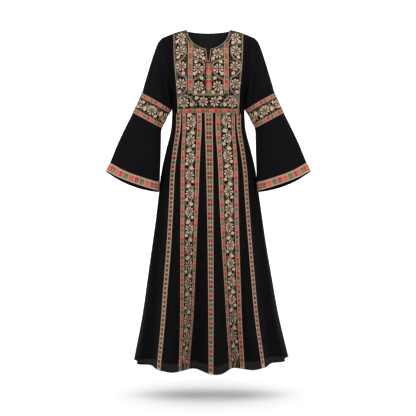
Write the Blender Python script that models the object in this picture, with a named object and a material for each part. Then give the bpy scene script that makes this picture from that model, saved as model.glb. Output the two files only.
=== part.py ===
"""A full-length black thobe dress with embroidered trims, hollow and filled out as when worn.

Metres, +Z up, the front faces -Y and the wearer's left is at +X. The origin is midway between the
shoulders, at the height where they carry the dress. Every piece of cloth is a thin wall between an
outer and an inner layer of points, and each trim is made from the points of the cloth under it.
"""

import math
from collections import namedtuple

import bmesh
import bpy
import numpy as np

# Cloth
CLOTH_THICKNESS = 0.0015
TRIM_THICKNESS = 0.0010
SEAM_GAP = 0.0003

# Shoulders and neck
NECK_HALF_WIDTH = 0.092
NECK_POINT_HEIGHT = 0.017
SHOULDER_HALF_WIDTH = 0.194
SHOULDER_TIP_HEIGHT = -0.017
SHOULDER_ROUNDING = 0.090
SHOULDER_BOW = 0.0035
FRONT_NECK_HEIGHT = -0.076
BACK_NECK_HEIGHT = 0.0105
SLIT_BOTTOM_HEIGHT = -0.128
SLIT_TOP_HALF_WIDTH = 0.0125
SLIT_BOTTOM_HALF_WIDTH = 0.0060
PIPING_RADIUS = 0.0015

# Armholes and waist
UNDERARM_HEIGHT = -0.285
ARMHOLE_HALF_DEPTH = 0.068
ARMHOLE_STEPS = 12
WAIST_HEIGHT = -0.337
WAIST_TRIM_WIDTH = 0.0165
BODICE_ROUNDNESS = 2.4
PANEL_ROW = 2
UNDERARM_ROW = 3
SIDE_COLUMNS = 3
SHOULDER_COLUMNS = 6

# Skirt
HEM_FRONT_HEIGHT = -1.388
HEM_SIDE_HEIGHT = -1.359
HEM_BACK_HEIGHT = -1.385
HEM_ROUNDNESS = 2.0
HEM_DRIFT = 0.012
HEM_TILT = 0.006
HEM_SWAG = 0.10
FOLD_GROWTH = 1.6
CLOTH_SPREAD = math.radians(13.7)
SKIRT_ROWS = 12
SIDE_SEAM = math.pi / 2

# Trims
SLEEVE_COLUMNS = 2 * ARMHOLE_STEPS

# Colours
BLACK_CREPE = (0.010, 0.010, 0.012)
TAN_THREAD = (0.36, 0.25, 0.16)
RED_THREAD = (0.42, 0.03, 0.03)

EdgeSection = namedtuple("EdgeSection", "height side_edge panel_edge front_depth back_depth")
# Half widths of the bodice and of its embroidered panel, and its depth before and behind the shoulders.
BODICE = (
    EdgeSection(height=-0.337, side_edge=0.1515, panel_edge=0.127, front_depth=0.102, back_depth=0.084),
    EdgeSection(height=-0.285, side_edge=0.1540, panel_edge=0.128, front_depth=0.108, back_depth=0.088),
    EdgeSection(height=-0.234, side_edge=0.1600, panel_edge=0.131, front_depth=0.113, back_depth=0.093),
    EdgeSection(height=-0.171, side_edge=0.1650, panel_edge=0.137, front_depth=0.108, back_depth=0.097),
    EdgeSection(height=-0.108, side_edge=0.1700, panel_edge=0.142, front_depth=0.093, back_depth=0.096),
    EdgeSection(height=-0.050, side_edge=0.1810, panel_edge=0.144, front_depth=0.076, back_depth=0.084),
    EdgeSection(height=-0.017, side_edge=0.1940, panel_edge=0.145, front_depth=0.068, back_depth=0.072),
    EdgeSection(height=0.017, side_edge=0.1940, panel_edge=0.145, front_depth=0.060, back_depth=0.060),
)

SkirtSection = namedtuple("SkirtSection", "height half_width front_depth back_depth")
SKIRT = (
    SkirtSection(height=-0.337, half_width=0.1515, front_depth=0.102, back_depth=0.084),
    SkirtSection(height=-0.400, half_width=0.156, front_depth=0.107, back_depth=0.097),
    SkirtSection(height=-0.485, half_width=0.175, front_depth=0.117, back_depth=0.112),
    SkirtSection(height=-0.570, half_width=0.193, front_depth=0.127, back_depth=0.122),
    SkirtSection(height=-0.695, half_width=0.209, front_depth=0.138, back_depth=0.130),
    SkirtSection(height=-0.862, half_width=0.232, front_depth=0.153, back_depth=0.138),
    SkirtSection(height=-1.030, half_width=0.256, front_depth=0.167, back_depth=0.145),
    SkirtSection(height=-1.197, half_width=0.280, front_depth=0.181, back_depth=0.152),
    SkirtSection(height=-1.388, half_width=0.317, front_depth=0.192, back_depth=0.160),
)

SkirtFold = namedtuple("SkirtFold", "hem_angle outward")
# Crest and hollow lines round the hem: degrees from the centre front, and how far each stands out there.
SKIRT_FOLDS = (
    SkirtFold(hem_angle=-90.0, outward=0.000),
    SkirtFold(hem_angle=-78.0, outward=-0.006),
    SkirtFold(hem_angle=-66.0, outward=0.016),
    SkirtFold(hem_angle=-54.0, outward=-0.012),
    SkirtFold(hem_angle=-35.0, outward=0.037),
    SkirtFold(hem_angle=-28.5, outward=0.046),
    SkirtFold(hem_angle=-14.5, outward=-0.052),
    SkirtFold(hem_angle=3.7, outward=0.056),
    SkirtFold(hem_angle=18.0, outward=-0.040),
    SkirtFold(hem_angle=31.5, outward=0.035),
    SkirtFold(hem_angle=37.0, outward=0.029),
    SkirtFold(hem_angle=53.0, outward=-0.008),
    SkirtFold(hem_angle=65.0, outward=0.014),
    SkirtFold(hem_angle=78.0, outward=-0.005),
    SkirtFold(hem_angle=90.0, outward=0.000),
    SkirtFold(hem_angle=104.0, outward=0.018),
    SkirtFold(hem_angle=119.0, outward=-0.026),
    SkirtFold(hem_angle=135.0, outward=0.030),
    SkirtFold(hem_angle=150.0, outward=-0.032),
    SkirtFold(hem_angle=166.0, outward=0.034),
    SkirtFold(hem_angle=181.0, outward=-0.036),
    SkirtFold(hem_angle=197.0, outward=0.036),
    SkirtFold(hem_angle=213.0, outward=-0.030),
    SkirtFold(hem_angle=228.0, outward=0.032),
    SkirtFold(hem_angle=243.0, outward=-0.024),
    SkirtFold(hem_angle=257.0, outward=0.016),
    SkirtFold(hem_angle=270.0, outward=0.000),
)

Stripe = namedtuple(
    "Stripe",
    "name waist_angle hip_angle middle_angle knee_angle hem_angle waist_width middle_width hem_width columns"
)
# From the wearer's right to the left; the angles name cloth lines, in degrees from the centre front.
STRIPES = (
    Stripe("stripe_narrow_right", -40.6, -37.9, -36.0, -37.4, -38.9, 0.0250, 0.0215, 0.0225, columns=2),
    Stripe("stripe_wide_right", -18.5, -17.1, -18.1, -19.4, -20.9, 0.0835, 0.0710, 0.0650, columns=6),
    Stripe("stripe_centre", 0.4, 1.1, 1.1, 0.6, -0.3, 0.0320, 0.0235, 0.0230, columns=3),
    Stripe("stripe_wide_left", 19.3, 18.2, 17.9, 19.0, 20.6, 0.0835, 0.0825, 0.0850, columns=6),
    Stripe("stripe_narrow_left", 42.3, 39.5, 37.5, 37.2, 38.9, 0.0245, 0.0175, 0.0160, columns=2),
)
# Columns of the gores between the stripes, in the same order, and of the back panel.
GORE_COLUMNS = (9, 4, 4, 4, 4, 9)
BACK_COLUMNS = 36

SleeveRing = namedtuple(
    "SleeveRing", "outer_x outer_z inner_x inner_z half_depth centre_y droop tilt flute"
)
# The left sleeve from the armhole to the cuff: the ends of each ring as seen from the front, its depth,
# how far it swings forward, how far its middle droops, its tilt and the height of its flutes.
SLEEVE = (
    SleeveRing(0.1940, -0.0170, 0.1540, -0.2850, 0.068, 0.000, 0.000, 0.000, 0.000),
    SleeveRing(0.2100, -0.0360, 0.1546, -0.2890, 0.071, -0.001, 0.000, 0.000, 0.000),
    SleeveRing(0.2235, -0.0700, 0.1552, -0.2940, 0.073, -0.003, 0.000, 0.000, 0.000),
    SleeveRing(0.2380, -0.1150, 0.1558, -0.3000, 0.073, -0.005, 0.000, 0.000, 0.001),
    SleeveRing(0.2530, -0.1650, 0.1564, -0.3060, 0.071, -0.007, 0.000, 0.000, 0.001),
    SleeveRing(0.2660, -0.2090, 0.1570, -0.3120, 0.068, -0.009, 0.000, 0.000, 0.001),
    SleeveRing(0.2780, -0.2490, 0.1580, -0.3180, 0.065, -0.012, 0.000, 0.000, 0.000),
    SleeveRing(0.2965, -0.2900, 0.1755, -0.3575, 0.063, -0.015, 0.001, 0.000, 0.000),
    SleeveRing(0.3155, -0.3310, 0.1940, -0.3965, 0.061, -0.018, 0.002, 0.000, 0.000),
    SleeveRing(0.3440, -0.3960, 0.1960, -0.4450, 0.061, -0.027, 0.005, 0.001, 0.001),
    SleeveRing(0.3735, -0.4660, 0.1965, -0.5150, 0.062, -0.040, 0.010, 0.001, 0.002),
    SleeveRing(0.4030, -0.5440, 0.1990, -0.6220, 0.064, -0.058, 0.013, 0.004, 0.004),
    SleeveRing(0.4195, -0.5785, 0.2015, -0.6590, 0.066, -0.066, 0.013, 0.007, 0.005),
)
BAND_TOP_RING = 6
BAND_BOTTOM_RING = 8
CUFF_TRIM_RING = 11
FLUTE_COUNT = 5
FLUTE_PHASE = 0.6
OVAL_FULLNESS = 0.92
ARMHOLE_FADE_RINGS = 4.0
FLARE_ROWS = (8.0, 8.5, 9.0, 9.5, 10.0, 10.5, 11.0, 12.0)


def column(table, name):
    return np.array([getattr(row, name) for row in table])


def smooth_curve(places, values, at):
    """A smooth curve through the values at rising places, read at the places asked for."""
    slopes = np.gradient(values, places)
    at = np.clip(at, places[0], places[-1])
    i = np.clip(np.searchsorted(places, at) - 1, 0, len(places) - 2)
    span = places[i + 1] - places[i]
    s = (at - places[i]) / span
    start = (1 + 2 * s) * (1 - s) ** 2 * values[i] + s * (1 - s) ** 2 * span * slopes[i]
    end = s * s * (3 - 2 * s) * values[i + 1] + s * s * (s - 1) * span * slopes[i + 1]
    return start + end


def by_height(table, name, height):
    rows = sorted(table)
    return smooth_curve(column(rows, "height"), column(rows, name), height)


# The bodice

def shoulder_line(x):
    out = (np.abs(x) - NECK_HALF_WIDTH) / (SHOULDER_HALF_WIDTH - NECK_HALF_WIDTH)
    straight = NECK_POINT_HEIGHT - out * (NECK_POINT_HEIGHT - SHOULDER_TIP_HEIGHT)
    return straight + 4 * SHOULDER_BOW * np.clip(out * (1 - out), 0, 1)


def neckline(x, side):
    """Height of the neck edge at x, on the front (side -1) or the back (side 1)."""
    x = np.abs(x)
    bottom = FRONT_NECK_HEIGHT if side < 0 else BACK_NECK_HEIGHT
    round_part = 1 - np.sqrt(np.clip(1 - (x / NECK_HALF_WIDTH) ** 2, 0, 1))
    height = bottom + (NECK_POINT_HEIGHT - bottom) * round_part
    if side > 0:
        return height
    slit_top = bottom
    across = (x - SLIT_BOTTOM_HALF_WIDTH) / (SLIT_TOP_HALF_WIDTH - SLIT_BOTTOM_HALF_WIDTH)
    slit = SLIT_BOTTOM_HEIGHT + (slit_top - SLIT_BOTTOM_HEIGHT) * np.clip(across, 0, 1)
    return np.where(x < SLIT_TOP_HALF_WIDTH, slit, height)


def armhole_half_depth(height):
    middle = (UNDERARM_HEIGHT + SHOULDER_TIP_HEIGHT) / 2
    half = (SHOULDER_TIP_HEIGHT - UNDERARM_HEIGHT) / 2
    return ARMHOLE_HALF_DEPTH * np.sqrt(np.clip(1 - ((height - middle) / half) ** 2, 0, 1))


def shoulder_rounding(drop):
    share = np.clip(drop / SHOULDER_ROUNDING, 0, 1)
    return np.sqrt(1 - (1 - share) ** 2)


def bodice_depth(x, height, side):
    """How far the bodice stands before or behind the shoulder line at x and height."""
    name = "front_depth" if side < 0 else "back_depth"
    below_tip = np.minimum(height, SHOULDER_TIP_HEIGHT - 0.002)
    edge = by_height(BODICE, "side_edge", below_tip)
    full = by_height(BODICE, name, below_tip) * shoulder_rounding(shoulder_line(edge) - below_tip)
    share = np.clip(armhole_half_depth(below_tip) / full, 0, 0.97)
    half_width = edge / (1 - share**BODICE_ROUNDNESS) ** (1 / BODICE_ROUNDNESS)
    lateral = np.clip(1 - (np.abs(x) / half_width) ** BODICE_ROUNDNESS, 0, 1) ** (1 / BODICE_ROUNDNESS)
    return by_height(BODICE, name, height) * shoulder_rounding(shoulder_line(x) - height) * lateral


def bodice_across(share, height):
    """x at a share of the way out: 1 is the embroidered panel's edge and 2 the side seam or armhole."""
    panel = by_height(BODICE, "panel_edge", height)
    side = by_height(BODICE, "side_edge", height)
    return panel * np.minimum(share, 1) + (side - panel) * np.maximum(share - 1, 0)


def bodice_top(share, side):
    height = np.zeros_like(share)
    for _ in range(40):
        x = bodice_across(share, height)
        height = np.where(x < NECK_HALF_WIDTH, neckline(x, side), shoulder_line(x))
    return height


def bodice_point(share, edge_height, side):
    """A point of the bodice: a signed share across, and the height its row has at the armhole edge."""
    out = np.abs(share)
    trim_top = WAIST_HEIGHT + WAIST_TRIM_WIDTH
    up = (edge_height - trim_top) / (SHOULDER_TIP_HEIGHT - trim_top)
    height = np.where(up > 0, trim_top + up * (bodice_top(out, side) - trim_top), edge_height)
    x = bodice_across(out, height)
    y = side * (bodice_depth(x, height, side) + SEAM_GAP / 2)
    return np.stack([np.sign(share) * x, y, height], axis=-1)


def armhole_angles():
    return np.linspace(math.pi, 0, ARMHOLE_STEPS + 1)


def armhole_height(angle):
    middle = (UNDERARM_HEIGHT + SHOULDER_TIP_HEIGHT) / 2
    return middle + (SHOULDER_TIP_HEIGHT - UNDERARM_HEIGHT) / 2 * np.cos(angle)


def bodice_rows():
    """Edge heights of the bodice's rows: the waist, the trim's top and then the armhole's own steps."""
    waist = WAIST_HEIGHT + SEAM_GAP / 2
    seam = WAIST_HEIGHT + WAIST_TRIM_WIDTH
    return np.array([waist, seam - SEAM_GAP / 2, seam + SEAM_GAP / 2, *armhole_height(armhole_angles())])


def bodice_shares(side):
    """Shares across the bodice where its columns run, from side to side."""
    panel_top = BODICE[-1].panel_edge
    neck_point = NECK_HALF_WIDTH / panel_top
    if side < 0:
        bottom, top = SLIT_BOTTOM_HALF_WIDTH / 0.1425, SLIT_TOP_HALF_WIDTH / 0.1435
        to_neck = [bottom, top, *(neck_point * np.array([0.30, 0.50, 0.68, 0.83, 0.94, 1.0]))]
    else:
        to_neck = [*(neck_point * np.array([0.22, 0.44, 0.66, 0.83, 0.94, 1.0]))]
    half = [*to_neck, 0.80, 1.0, 1.5, 1.85, 2.0]
    return np.array([*(-s for s in reversed(half)), 0.0, *half])


# The skirt

def skirt_angle(hem_angle, down):
    """The angle round the body of a cloth line, which leans outwards towards the waist."""
    return hem_angle + CLOTH_SPREAD * (1 - down) * np.sin(2 * hem_angle)


def fold_outward(hem_angle, down):
    """How far the cloth stands off the plain skirt: smooth waves between the crests and hollows."""
    angles = np.radians(column(SKIRT_FOLDS, "hem_angle"))
    outward = column(SKIRT_FOLDS, "outward")
    turn = (hem_angle - angles[0]) % (2 * math.pi) + angles[0]
    i = np.clip(np.searchsorted(angles, turn) - 1, 0, len(angles) - 2)
    wave = (1 - np.cos(math.pi * (turn - angles[i]) / (angles[i + 1] - angles[i]))) / 2
    return (outward[i] + (outward[i + 1] - outward[i]) * wave) * down**FOLD_GROWTH


def skirt_point(hem_angle, down):
    """A point of the skirt: the angle of its cloth line at the hem, and the share of the way down."""
    angle = skirt_angle(hem_angle, down)
    front = np.cos(angle) >= 0
    hem_end = np.where(front, HEM_FRONT_HEIGHT, HEM_BACK_HEIGHT)
    hem = HEM_SIDE_HEIGHT + (hem_end - HEM_SIDE_HEIGHT) * np.cos(hem_angle) ** 2
    hem = hem + HEM_TILT * np.sin(hem_angle) - HEM_SWAG * fold_outward(hem_angle, 1.0)
    top = WAIST_HEIGHT - SEAM_GAP / 2
    level = top + down * (HEM_FRONT_HEIGHT - top)
    half_width = by_height(SKIRT, "half_width", level)
    front_depth = by_height(SKIRT, "front_depth", level)
    back_depth = by_height(SKIRT, "back_depth", level)
    depth = np.where(front, front_depth, back_depth)
    power = BODICE_ROUNDNESS + (HEM_ROUNDNESS - BODICE_ROUNDNESS) * down
    towards_front = np.clip(1 - np.abs(np.sin(angle)) ** power, 0, 1) ** (1 / power)
    x = half_width * np.sin(angle)
    y = -np.sign(np.cos(angle)) * depth * towards_front
    outward = np.stack([np.sin(angle) / half_width, -np.cos(angle) / depth], axis=-1)
    outward /= np.linalg.norm(outward, axis=-1, keepdims=True)
    fold = fold_outward(hem_angle, down)
    x = x + outward[..., 0] * fold + HEM_DRIFT * down**2
    y = y + outward[..., 1] * fold
    return np.stack([x, y, top + down * (hem - top)], axis=-1)


def stripe_edges(stripe, down):
    """The cloth lines at a stripe's edges, measured round the folds, so that it has its true width."""
    fine = np.radians(np.linspace(-89, 89, 1425))
    line = skirt_point(fine, np.full_like(fine, down))
    length = np.concatenate([[0], np.cumsum(np.linalg.norm(np.diff(line[:, :2], axis=0), axis=1))])
    places = [stripe.waist_angle, stripe.hip_angle, stripe.middle_angle, stripe.knee_angle, stripe.hem_angle]
    angle = smooth_curve(np.linspace(0, 1, 5), np.radians(places), down)
    centre = np.interp(angle, fine, length)
    widths = np.array([stripe.waist_width, stripe.middle_width, stripe.hem_width])
    half = smooth_curve(np.array([0, 0.5, 1]), widths, down) / 2
    return np.interp([centre - half, centre + half], length, fine)


def seam_angle(down):
    """Half the seam gap at the side, as an angle."""
    height = WAIST_HEIGHT + down * (HEM_FRONT_HEIGHT - WAIST_HEIGHT)
    return SEAM_GAP / 2 / by_height(SKIRT, "front_depth", height)


def front_skirt_angles(down):
    """Hem angles of the front panel's columns at one height: gores and stripes in turn."""
    edges = [stripe_edges(stripe, down) for stripe in STRIPES]
    stops = [-SIDE_SEAM + seam_angle(down), *np.concatenate(edges), SIDE_SEAM - seam_angle(down)]
    counts = [GORE_COLUMNS[0]]
    for stripe, gore in zip(STRIPES, GORE_COLUMNS[1:]):
        counts += [stripe.columns, gore]
    spans = [np.linspace(a, b, n, endpoint=False) for a, b, n in zip(stops, stops[1:], counts)]
    return np.concatenate([*spans, [stops[-1]]])


def stripe_columns(name):
    """First and last column of a stripe among the front panel's columns."""
    first = GORE_COLUMNS[0]
    for stripe, gore in zip(STRIPES, GORE_COLUMNS[1:]):
        if stripe.name == name:
            return first, first + stripe.columns
        first += stripe.columns + gore
    raise KeyError(name)


# The sleeves

def armhole_point(angle):
    height = armhole_height(angle)
    x = by_height(BODICE, "side_edge", height) + SEAM_GAP
    return np.stack([x, -ARMHOLE_HALF_DEPTH * np.sin(angle), height], axis=-1)


def oval_point(angle, ring):
    """A point of the plain sleeve: 0 is its outer line and half a turn its inner line, past the front."""
    rings = np.arange(len(SLEEVE))
    at = {name: smooth_curve(rings, column(SLEEVE, name), ring) for name in SleeveRing._fields}
    across_x, across_z = at["outer_x"] - at["inner_x"], at["outer_z"] - at["inner_z"]
    width = np.hypot(across_x, across_z)
    along_x, along_z = across_z / width, -across_x / width
    front = np.sin(angle)
    flute = at["flute"] * np.cos(FLUTE_COUNT * angle + FLUTE_PHASE)
    reach = (1 + 2 * flute / width) * np.cos(angle) / 2
    down = at["droop"] * front**2 - at["tilt"] * front
    x = (at["outer_x"] + at["inner_x"]) / 2 + across_x * reach + along_x * down
    z = (at["outer_z"] + at["inner_z"]) / 2 + across_z * reach + along_z * down
    y = at["centre_y"] - (at["half_depth"] + flute) * np.sign(front) * np.abs(front) ** OVAL_FULLNESS
    return np.stack([x, y, z], axis=-1)


def sleeve_point(angle, ring):
    """The sleeve: the armhole's own outline at its top, easing into ovals further down."""
    fade = np.clip(1 - ring / ARMHOLE_FADE_RINGS, 0, 1) ** 2
    moved = armhole_point(angle) - oval_point(angle, np.zeros_like(ring))
    return oval_point(angle, ring) + moved * fade[..., None]


# Walls from points

def unit(vectors):
    return vectors / np.linalg.norm(vectors, axis=-1, keepdims=True)


def grid_normals(points, closed_across, flip):
    """Unit normals at a grid of points, [row, column], each the mean of those of the quads round it."""
    if closed_across:
        points = np.concatenate([points[:, -1:], points, points[:, :1]], axis=1)
    total = np.zeros_like(points)
    quads = unit(np.cross(points[1:, 1:] - points[:-1, :-1], points[1:, :-1] - points[:-1, 1:]))
    for rows in (slice(None, -1), slice(1, None)):
        for columns in (slice(None, -1), slice(1, None)):
            total[rows, columns] += quads
    if closed_across:
        total = total[:, 1:-1]
    return flip * unit(total)


def cloth_object(name, outer, inner, closed_across, colour, roughness):
    """A wall between two layers of points, each [row, column]; a tube's last column meets its first."""
    rows, columns = outer.shape[:2]
    points = np.concatenate([outer.reshape(-1, 3), inner.reshape(-1, 3)])
    index = np.arange(2 * rows * columns).reshape(2, rows, columns)
    if closed_across:
        index = np.concatenate([index, index[:, :, :1]], axis=2)
    faces = []
    for layer in index:
        quads = np.stack((layer[:-1, :-1], layer[:-1, 1:], layer[1:, 1:], layer[1:, :-1]), axis=-1)
        on_right = points[quads % (rows * columns), 0].sum(axis=-1, keepdims=True) < 0
        quads = np.where(on_right, np.roll(quads, 1, axis=-1), quads)
        faces.append(quads.reshape(-1, 4))
    rims = [index[:, 0, :], index[:, -1, :]]
    if not closed_across:
        rims += [index[:, :, 0], index[:, :, -1]]
    for rim in rims:
        faces.append(np.stack([rim[0, :-1], rim[0, 1:], rim[1, 1:], rim[1, :-1]], axis=-1))
    mesh = bpy.data.meshes.new(name)
    mesh.from_pydata(points.tolist(), [], np.concatenate(faces).tolist())
    shape = bmesh.new()
    shape.from_mesh(mesh)
    bmesh.ops.recalc_face_normals(shape, faces=shape.faces)
    shape.to_mesh(mesh)
    shape.free()
    mesh.shade_smooth()
    mesh.set_sharp_from_angle(angle=math.radians(40))
    return added(name, mesh, colour, roughness)


def added(name, data, colour, roughness):
    material = bpy.data.materials.new(name)
    material.use_nodes = True
    shader = material.node_tree.nodes["Principled BSDF"]
    shader.inputs["Base Color"].default_value = (*colour, 1)
    shader.inputs["Roughness"].default_value = roughness
    shader.inputs["Metallic"].default_value = 0.0
    data.materials.append(material)
    made = bpy.data.objects.new(name, data)
    bpy.data.collections["thobe_dress"].objects.link(made)
    return made


def cloth_layers(points, normals):
    return points, points - normals * CLOTH_THICKNESS


def trim_layers(points, normals):
    """A trim's layers: the points of the cloth that it lies on, moved out."""
    return points + normals * (SEAM_GAP + TRIM_THICKNESS), points + normals * SEAM_GAP


def bodice_grid(side, rows):
    share, height = np.meshgrid(bodice_shares(side), rows)
    points = bodice_point(share, height, side)
    return points, grid_normals(points, False, -side)


def share_seam(front, back, part, back_part):
    """Gives both sides of a seam the same normals, so that the walls stay a seam's gap apart."""
    mean = unit(front[part] + back[back_part])
    front[part] = mean
    back[back_part] = mean


def build_bodice():
    rows = bodice_rows()
    front, front_normals = bodice_grid(-1, rows)
    back, back_normals = bodice_grid(1, rows)
    below_underarm = slice(0, UNDERARM_ROW + 1)
    for edge in (0, -1):
        share_seam(front_normals, back_normals, (below_underarm, edge), (below_underarm, edge))
    for shoulder in (slice(0, SHOULDER_COLUMNS), slice(-SHOULDER_COLUMNS, None)):
        share_seam(front_normals, back_normals, (-1, shoulder), (-1, shoulder))
    cloth_object("front_bodice", *cloth_layers(front, front_normals), False, BLACK_CREPE, 0.85)
    cloth_object("back_bodice", *cloth_layers(back, back_normals), False, BLACK_CREPE, 0.85)
    panel = (slice(PANEL_ROW, None), slice(SIDE_COLUMNS, -SIDE_COLUMNS))
    layers = trim_layers(front[panel], front_normals[panel])
    cloth_object("front_embroidered_panel", *layers, False, TAN_THREAD, 0.7)
    waist = (slice(0, PANEL_ROW), panel[1])
    cloth_object("waist_trim", *trim_layers(front[waist], front_normals[waist]), False, RED_THREAD, 0.6)
    neck = (-1, slice(SHOULDER_COLUMNS - 1, 1 - SHOULDER_COLUMNS))
    build_neck_piping(front[neck], front_normals[neck])


def build_neck_piping(edge, normals):
    """A cord along the front neck edge, from one neck point down round the slit to the other."""
    run = unit(np.diff(edge, axis=0))
    out = unit(np.cross(normals[:-1] + normals[1:], run))
    before, after = np.concatenate([out[:1], out]), np.concatenate([out, out[-1:]])
    mitre = (before + after) / (1 + np.sum(before * after, axis=1, keepdims=True))
    route = edge + mitre * (PIPING_RADIUS + SEAM_GAP)
    curve = bpy.data.curves.new("neck_piping", "CURVE")
    curve.dimensions = "3D"
    spline = curve.splines.new("POLY")
    spline.points.add(len(route) - 1)
    for point, place in zip(spline.points, route):
        point.co = (*place, 1)
    curve.bevel_depth = PIPING_RADIUS
    curve.bevel_resolution = 2
    curve.use_fill_caps = True
    added("neck_piping", curve, TAN_THREAD, 0.6)


def build_skirt():
    downs = np.linspace(0, 1, SKIRT_ROWS + 1)
    front = np.array([front_skirt_angles(d) for d in downs])
    back_ends = [(SIDE_SEAM + seam_angle(d), 3 * SIDE_SEAM - seam_angle(d)) for d in downs]
    back = np.array([np.linspace(start, end, BACK_COLUMNS + 1) for start, end in back_ends])
    angles = np.concatenate([front, back], axis=1)
    points = skirt_point(angles, np.repeat(downs[:, None], angles.shape[1], axis=1))
    normals = grid_normals(points, True, -1)
    panels = {"skirt_front": slice(0, front.shape[1]), "skirt_back": slice(front.shape[1], None)}
    for name, part in panels.items():
        cloth_object(name, *cloth_layers(points[:, part], normals[:, part]), False, BLACK_CREPE, 0.85)
    for stripe in STRIPES:
        first, last = stripe_columns(stripe.name)
        part = slice(first, last + 1)
        cloth_object(stripe.name, *trim_layers(points[:, part], normals[:, part]), False, TAN_THREAD, 0.7)


def sleeve_grid(rings):
    angles = np.linspace(0, 2 * math.pi, SLEEVE_COLUMNS, endpoint=False)
    angle, ring = np.meshgrid(angles, rings)
    points = sleeve_point(angle, ring)
    return points, grid_normals(points, True, 1)


def build_sleeve(name, mirror):
    """One sleeve; mirror is 1 for the wearer's left and -1 for the right."""
    turn = np.array([mirror, 1, 1])

    def add(part, layers, colour, roughness):
        outer, inner = (layer * turn for layer in layers)
        cloth_object(f"{part}_{name}", outer, inner, True, colour, roughness)

    gap_in_rings = 2 * SEAM_GAP / (SLEEVE[BAND_TOP_RING].outer_z - SLEEVE[BAND_TOP_RING + 1].outer_z)
    points, normals = sleeve_grid(np.arange(0, BAND_BOTTOM_RING + 1.0))
    outer, inner = cloth_layers(points, normals)
    inner[0, :, 0] = np.maximum(inner[0, :, 0], outer[0, :, 0])
    add("sleeve_upper", (outer, inner), BLACK_CREPE, 0.85)
    band = slice(BAND_TOP_RING, BAND_BOTTOM_RING + 1)
    add("sleeve_band", trim_layers(points[band], normals[band]), TAN_THREAD, 0.7)
    rings = np.array([FLARE_ROWS[0] + gap_in_rings, *FLARE_ROWS[1:]])
    points, normals = sleeve_grid(rings)
    add("sleeve_flare", cloth_layers(points, normals), BLACK_CREPE, 0.85)
    cuff = slice(FLARE_ROWS.index(CUFF_TRIM_RING), None)
    add("cuff_trim", trim_layers(points[cuff], normals[cuff]), TAN_THREAD, 0.7)


def main():
    for old in list(bpy.data.objects):
        bpy.data.objects.remove(old, do_unlink=True)
    bpy.context.scene.collection.children.link(bpy.data.collections.new("thobe_dress"))
    build_bodice()
    build_skirt()
    build_sleeve("left", 1)
    build_sleeve("right", -1)


main()
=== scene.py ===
# %% [markdown]
# # A black crepe thobe with embroidered trims
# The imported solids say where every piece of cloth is. This lesson lays a finer shell of cloth over
# each of them, folds it as it hangs, and then sews the embroidery on as small raised stitches.
# %% Load the frame
import math
from collections import namedtuple

import bpy
import numpy as np
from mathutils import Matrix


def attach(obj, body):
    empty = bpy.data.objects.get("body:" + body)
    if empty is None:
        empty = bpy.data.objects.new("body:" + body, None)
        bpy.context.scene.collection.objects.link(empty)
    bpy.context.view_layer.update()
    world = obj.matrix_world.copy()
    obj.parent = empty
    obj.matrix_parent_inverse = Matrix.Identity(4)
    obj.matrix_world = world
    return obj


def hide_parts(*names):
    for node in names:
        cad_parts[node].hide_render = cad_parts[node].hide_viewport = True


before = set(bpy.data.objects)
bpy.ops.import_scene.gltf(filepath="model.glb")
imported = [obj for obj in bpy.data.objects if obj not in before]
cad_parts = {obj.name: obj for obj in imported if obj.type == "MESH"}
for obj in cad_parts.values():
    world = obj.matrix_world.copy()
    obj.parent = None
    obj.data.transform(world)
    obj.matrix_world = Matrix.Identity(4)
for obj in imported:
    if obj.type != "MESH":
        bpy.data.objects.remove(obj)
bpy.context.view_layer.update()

# %% [markdown]
# ## Smooth curves through short tables
# A garment's shape is a few measured sections and soft curves between them. One helper reads a
# table's column and another draws the curve, so every form below can stay a short table.
# %% Curves and units


def column(table, name):
    return np.array([getattr(row, name) for row in table])


def smooth_curve(places, values, at):
    """A smooth curve through the values at rising places, read at the places asked for."""
    slopes = np.gradient(values, places)
    at = np.clip(at, places[0], places[-1])
    i = np.clip(np.searchsorted(places, at) - 1, 0, len(places) - 2)
    span = places[i + 1] - places[i]
    s = (at - places[i]) / span
    start = (1 + 2 * s) * (1 - s) ** 2 * values[i] + s * (1 - s) ** 2 * span * slopes[i]
    end = s * s * (3 - 2 * s) * values[i + 1] + s * s * (s - 1) * span * slopes[i + 1]
    return start + end


def by_height(table, name, height):
    rows = sorted(table)
    return smooth_curve(column(rows, "height"), column(rows, name), height)


def unit(vectors):
    return vectors / np.maximum(np.linalg.norm(vectors, axis=-1, keepdims=True), 1e-12)


# %% [markdown]
# ## The bodice
# A dress bodice is two panels joined at the shoulders and the sides. Its form is an oval at each
# height, rounded off towards the shoulder line, with the neck and the armholes left open. These
# are the solid's own sections, so the fine cloth lies exactly where the solid is.
# %% Bodice form
NECK_HALF_WIDTH = 0.092
NECK_POINT_HEIGHT = 0.017
SHOULDER_HALF_WIDTH = 0.194
SHOULDER_TIP_HEIGHT = -0.017
SHOULDER_ROUNDING = 0.090
SHOULDER_BOW = 0.0035
FRONT_NECK_HEIGHT = -0.076
BACK_NECK_HEIGHT = 0.0105
SLIT_BOTTOM_HEIGHT = -0.128
SLIT_TOP_HALF_WIDTH = 0.0125
SLIT_BOTTOM_HALF_WIDTH = 0.0060
UNDERARM_HEIGHT = -0.285
ARMHOLE_HALF_DEPTH = 0.068
WAIST_HEIGHT = -0.337
WAIST_TRIM_WIDTH = 0.0165
BODICE_ROUNDNESS = 2.4
SEAM_GAP = 0.0003

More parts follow.
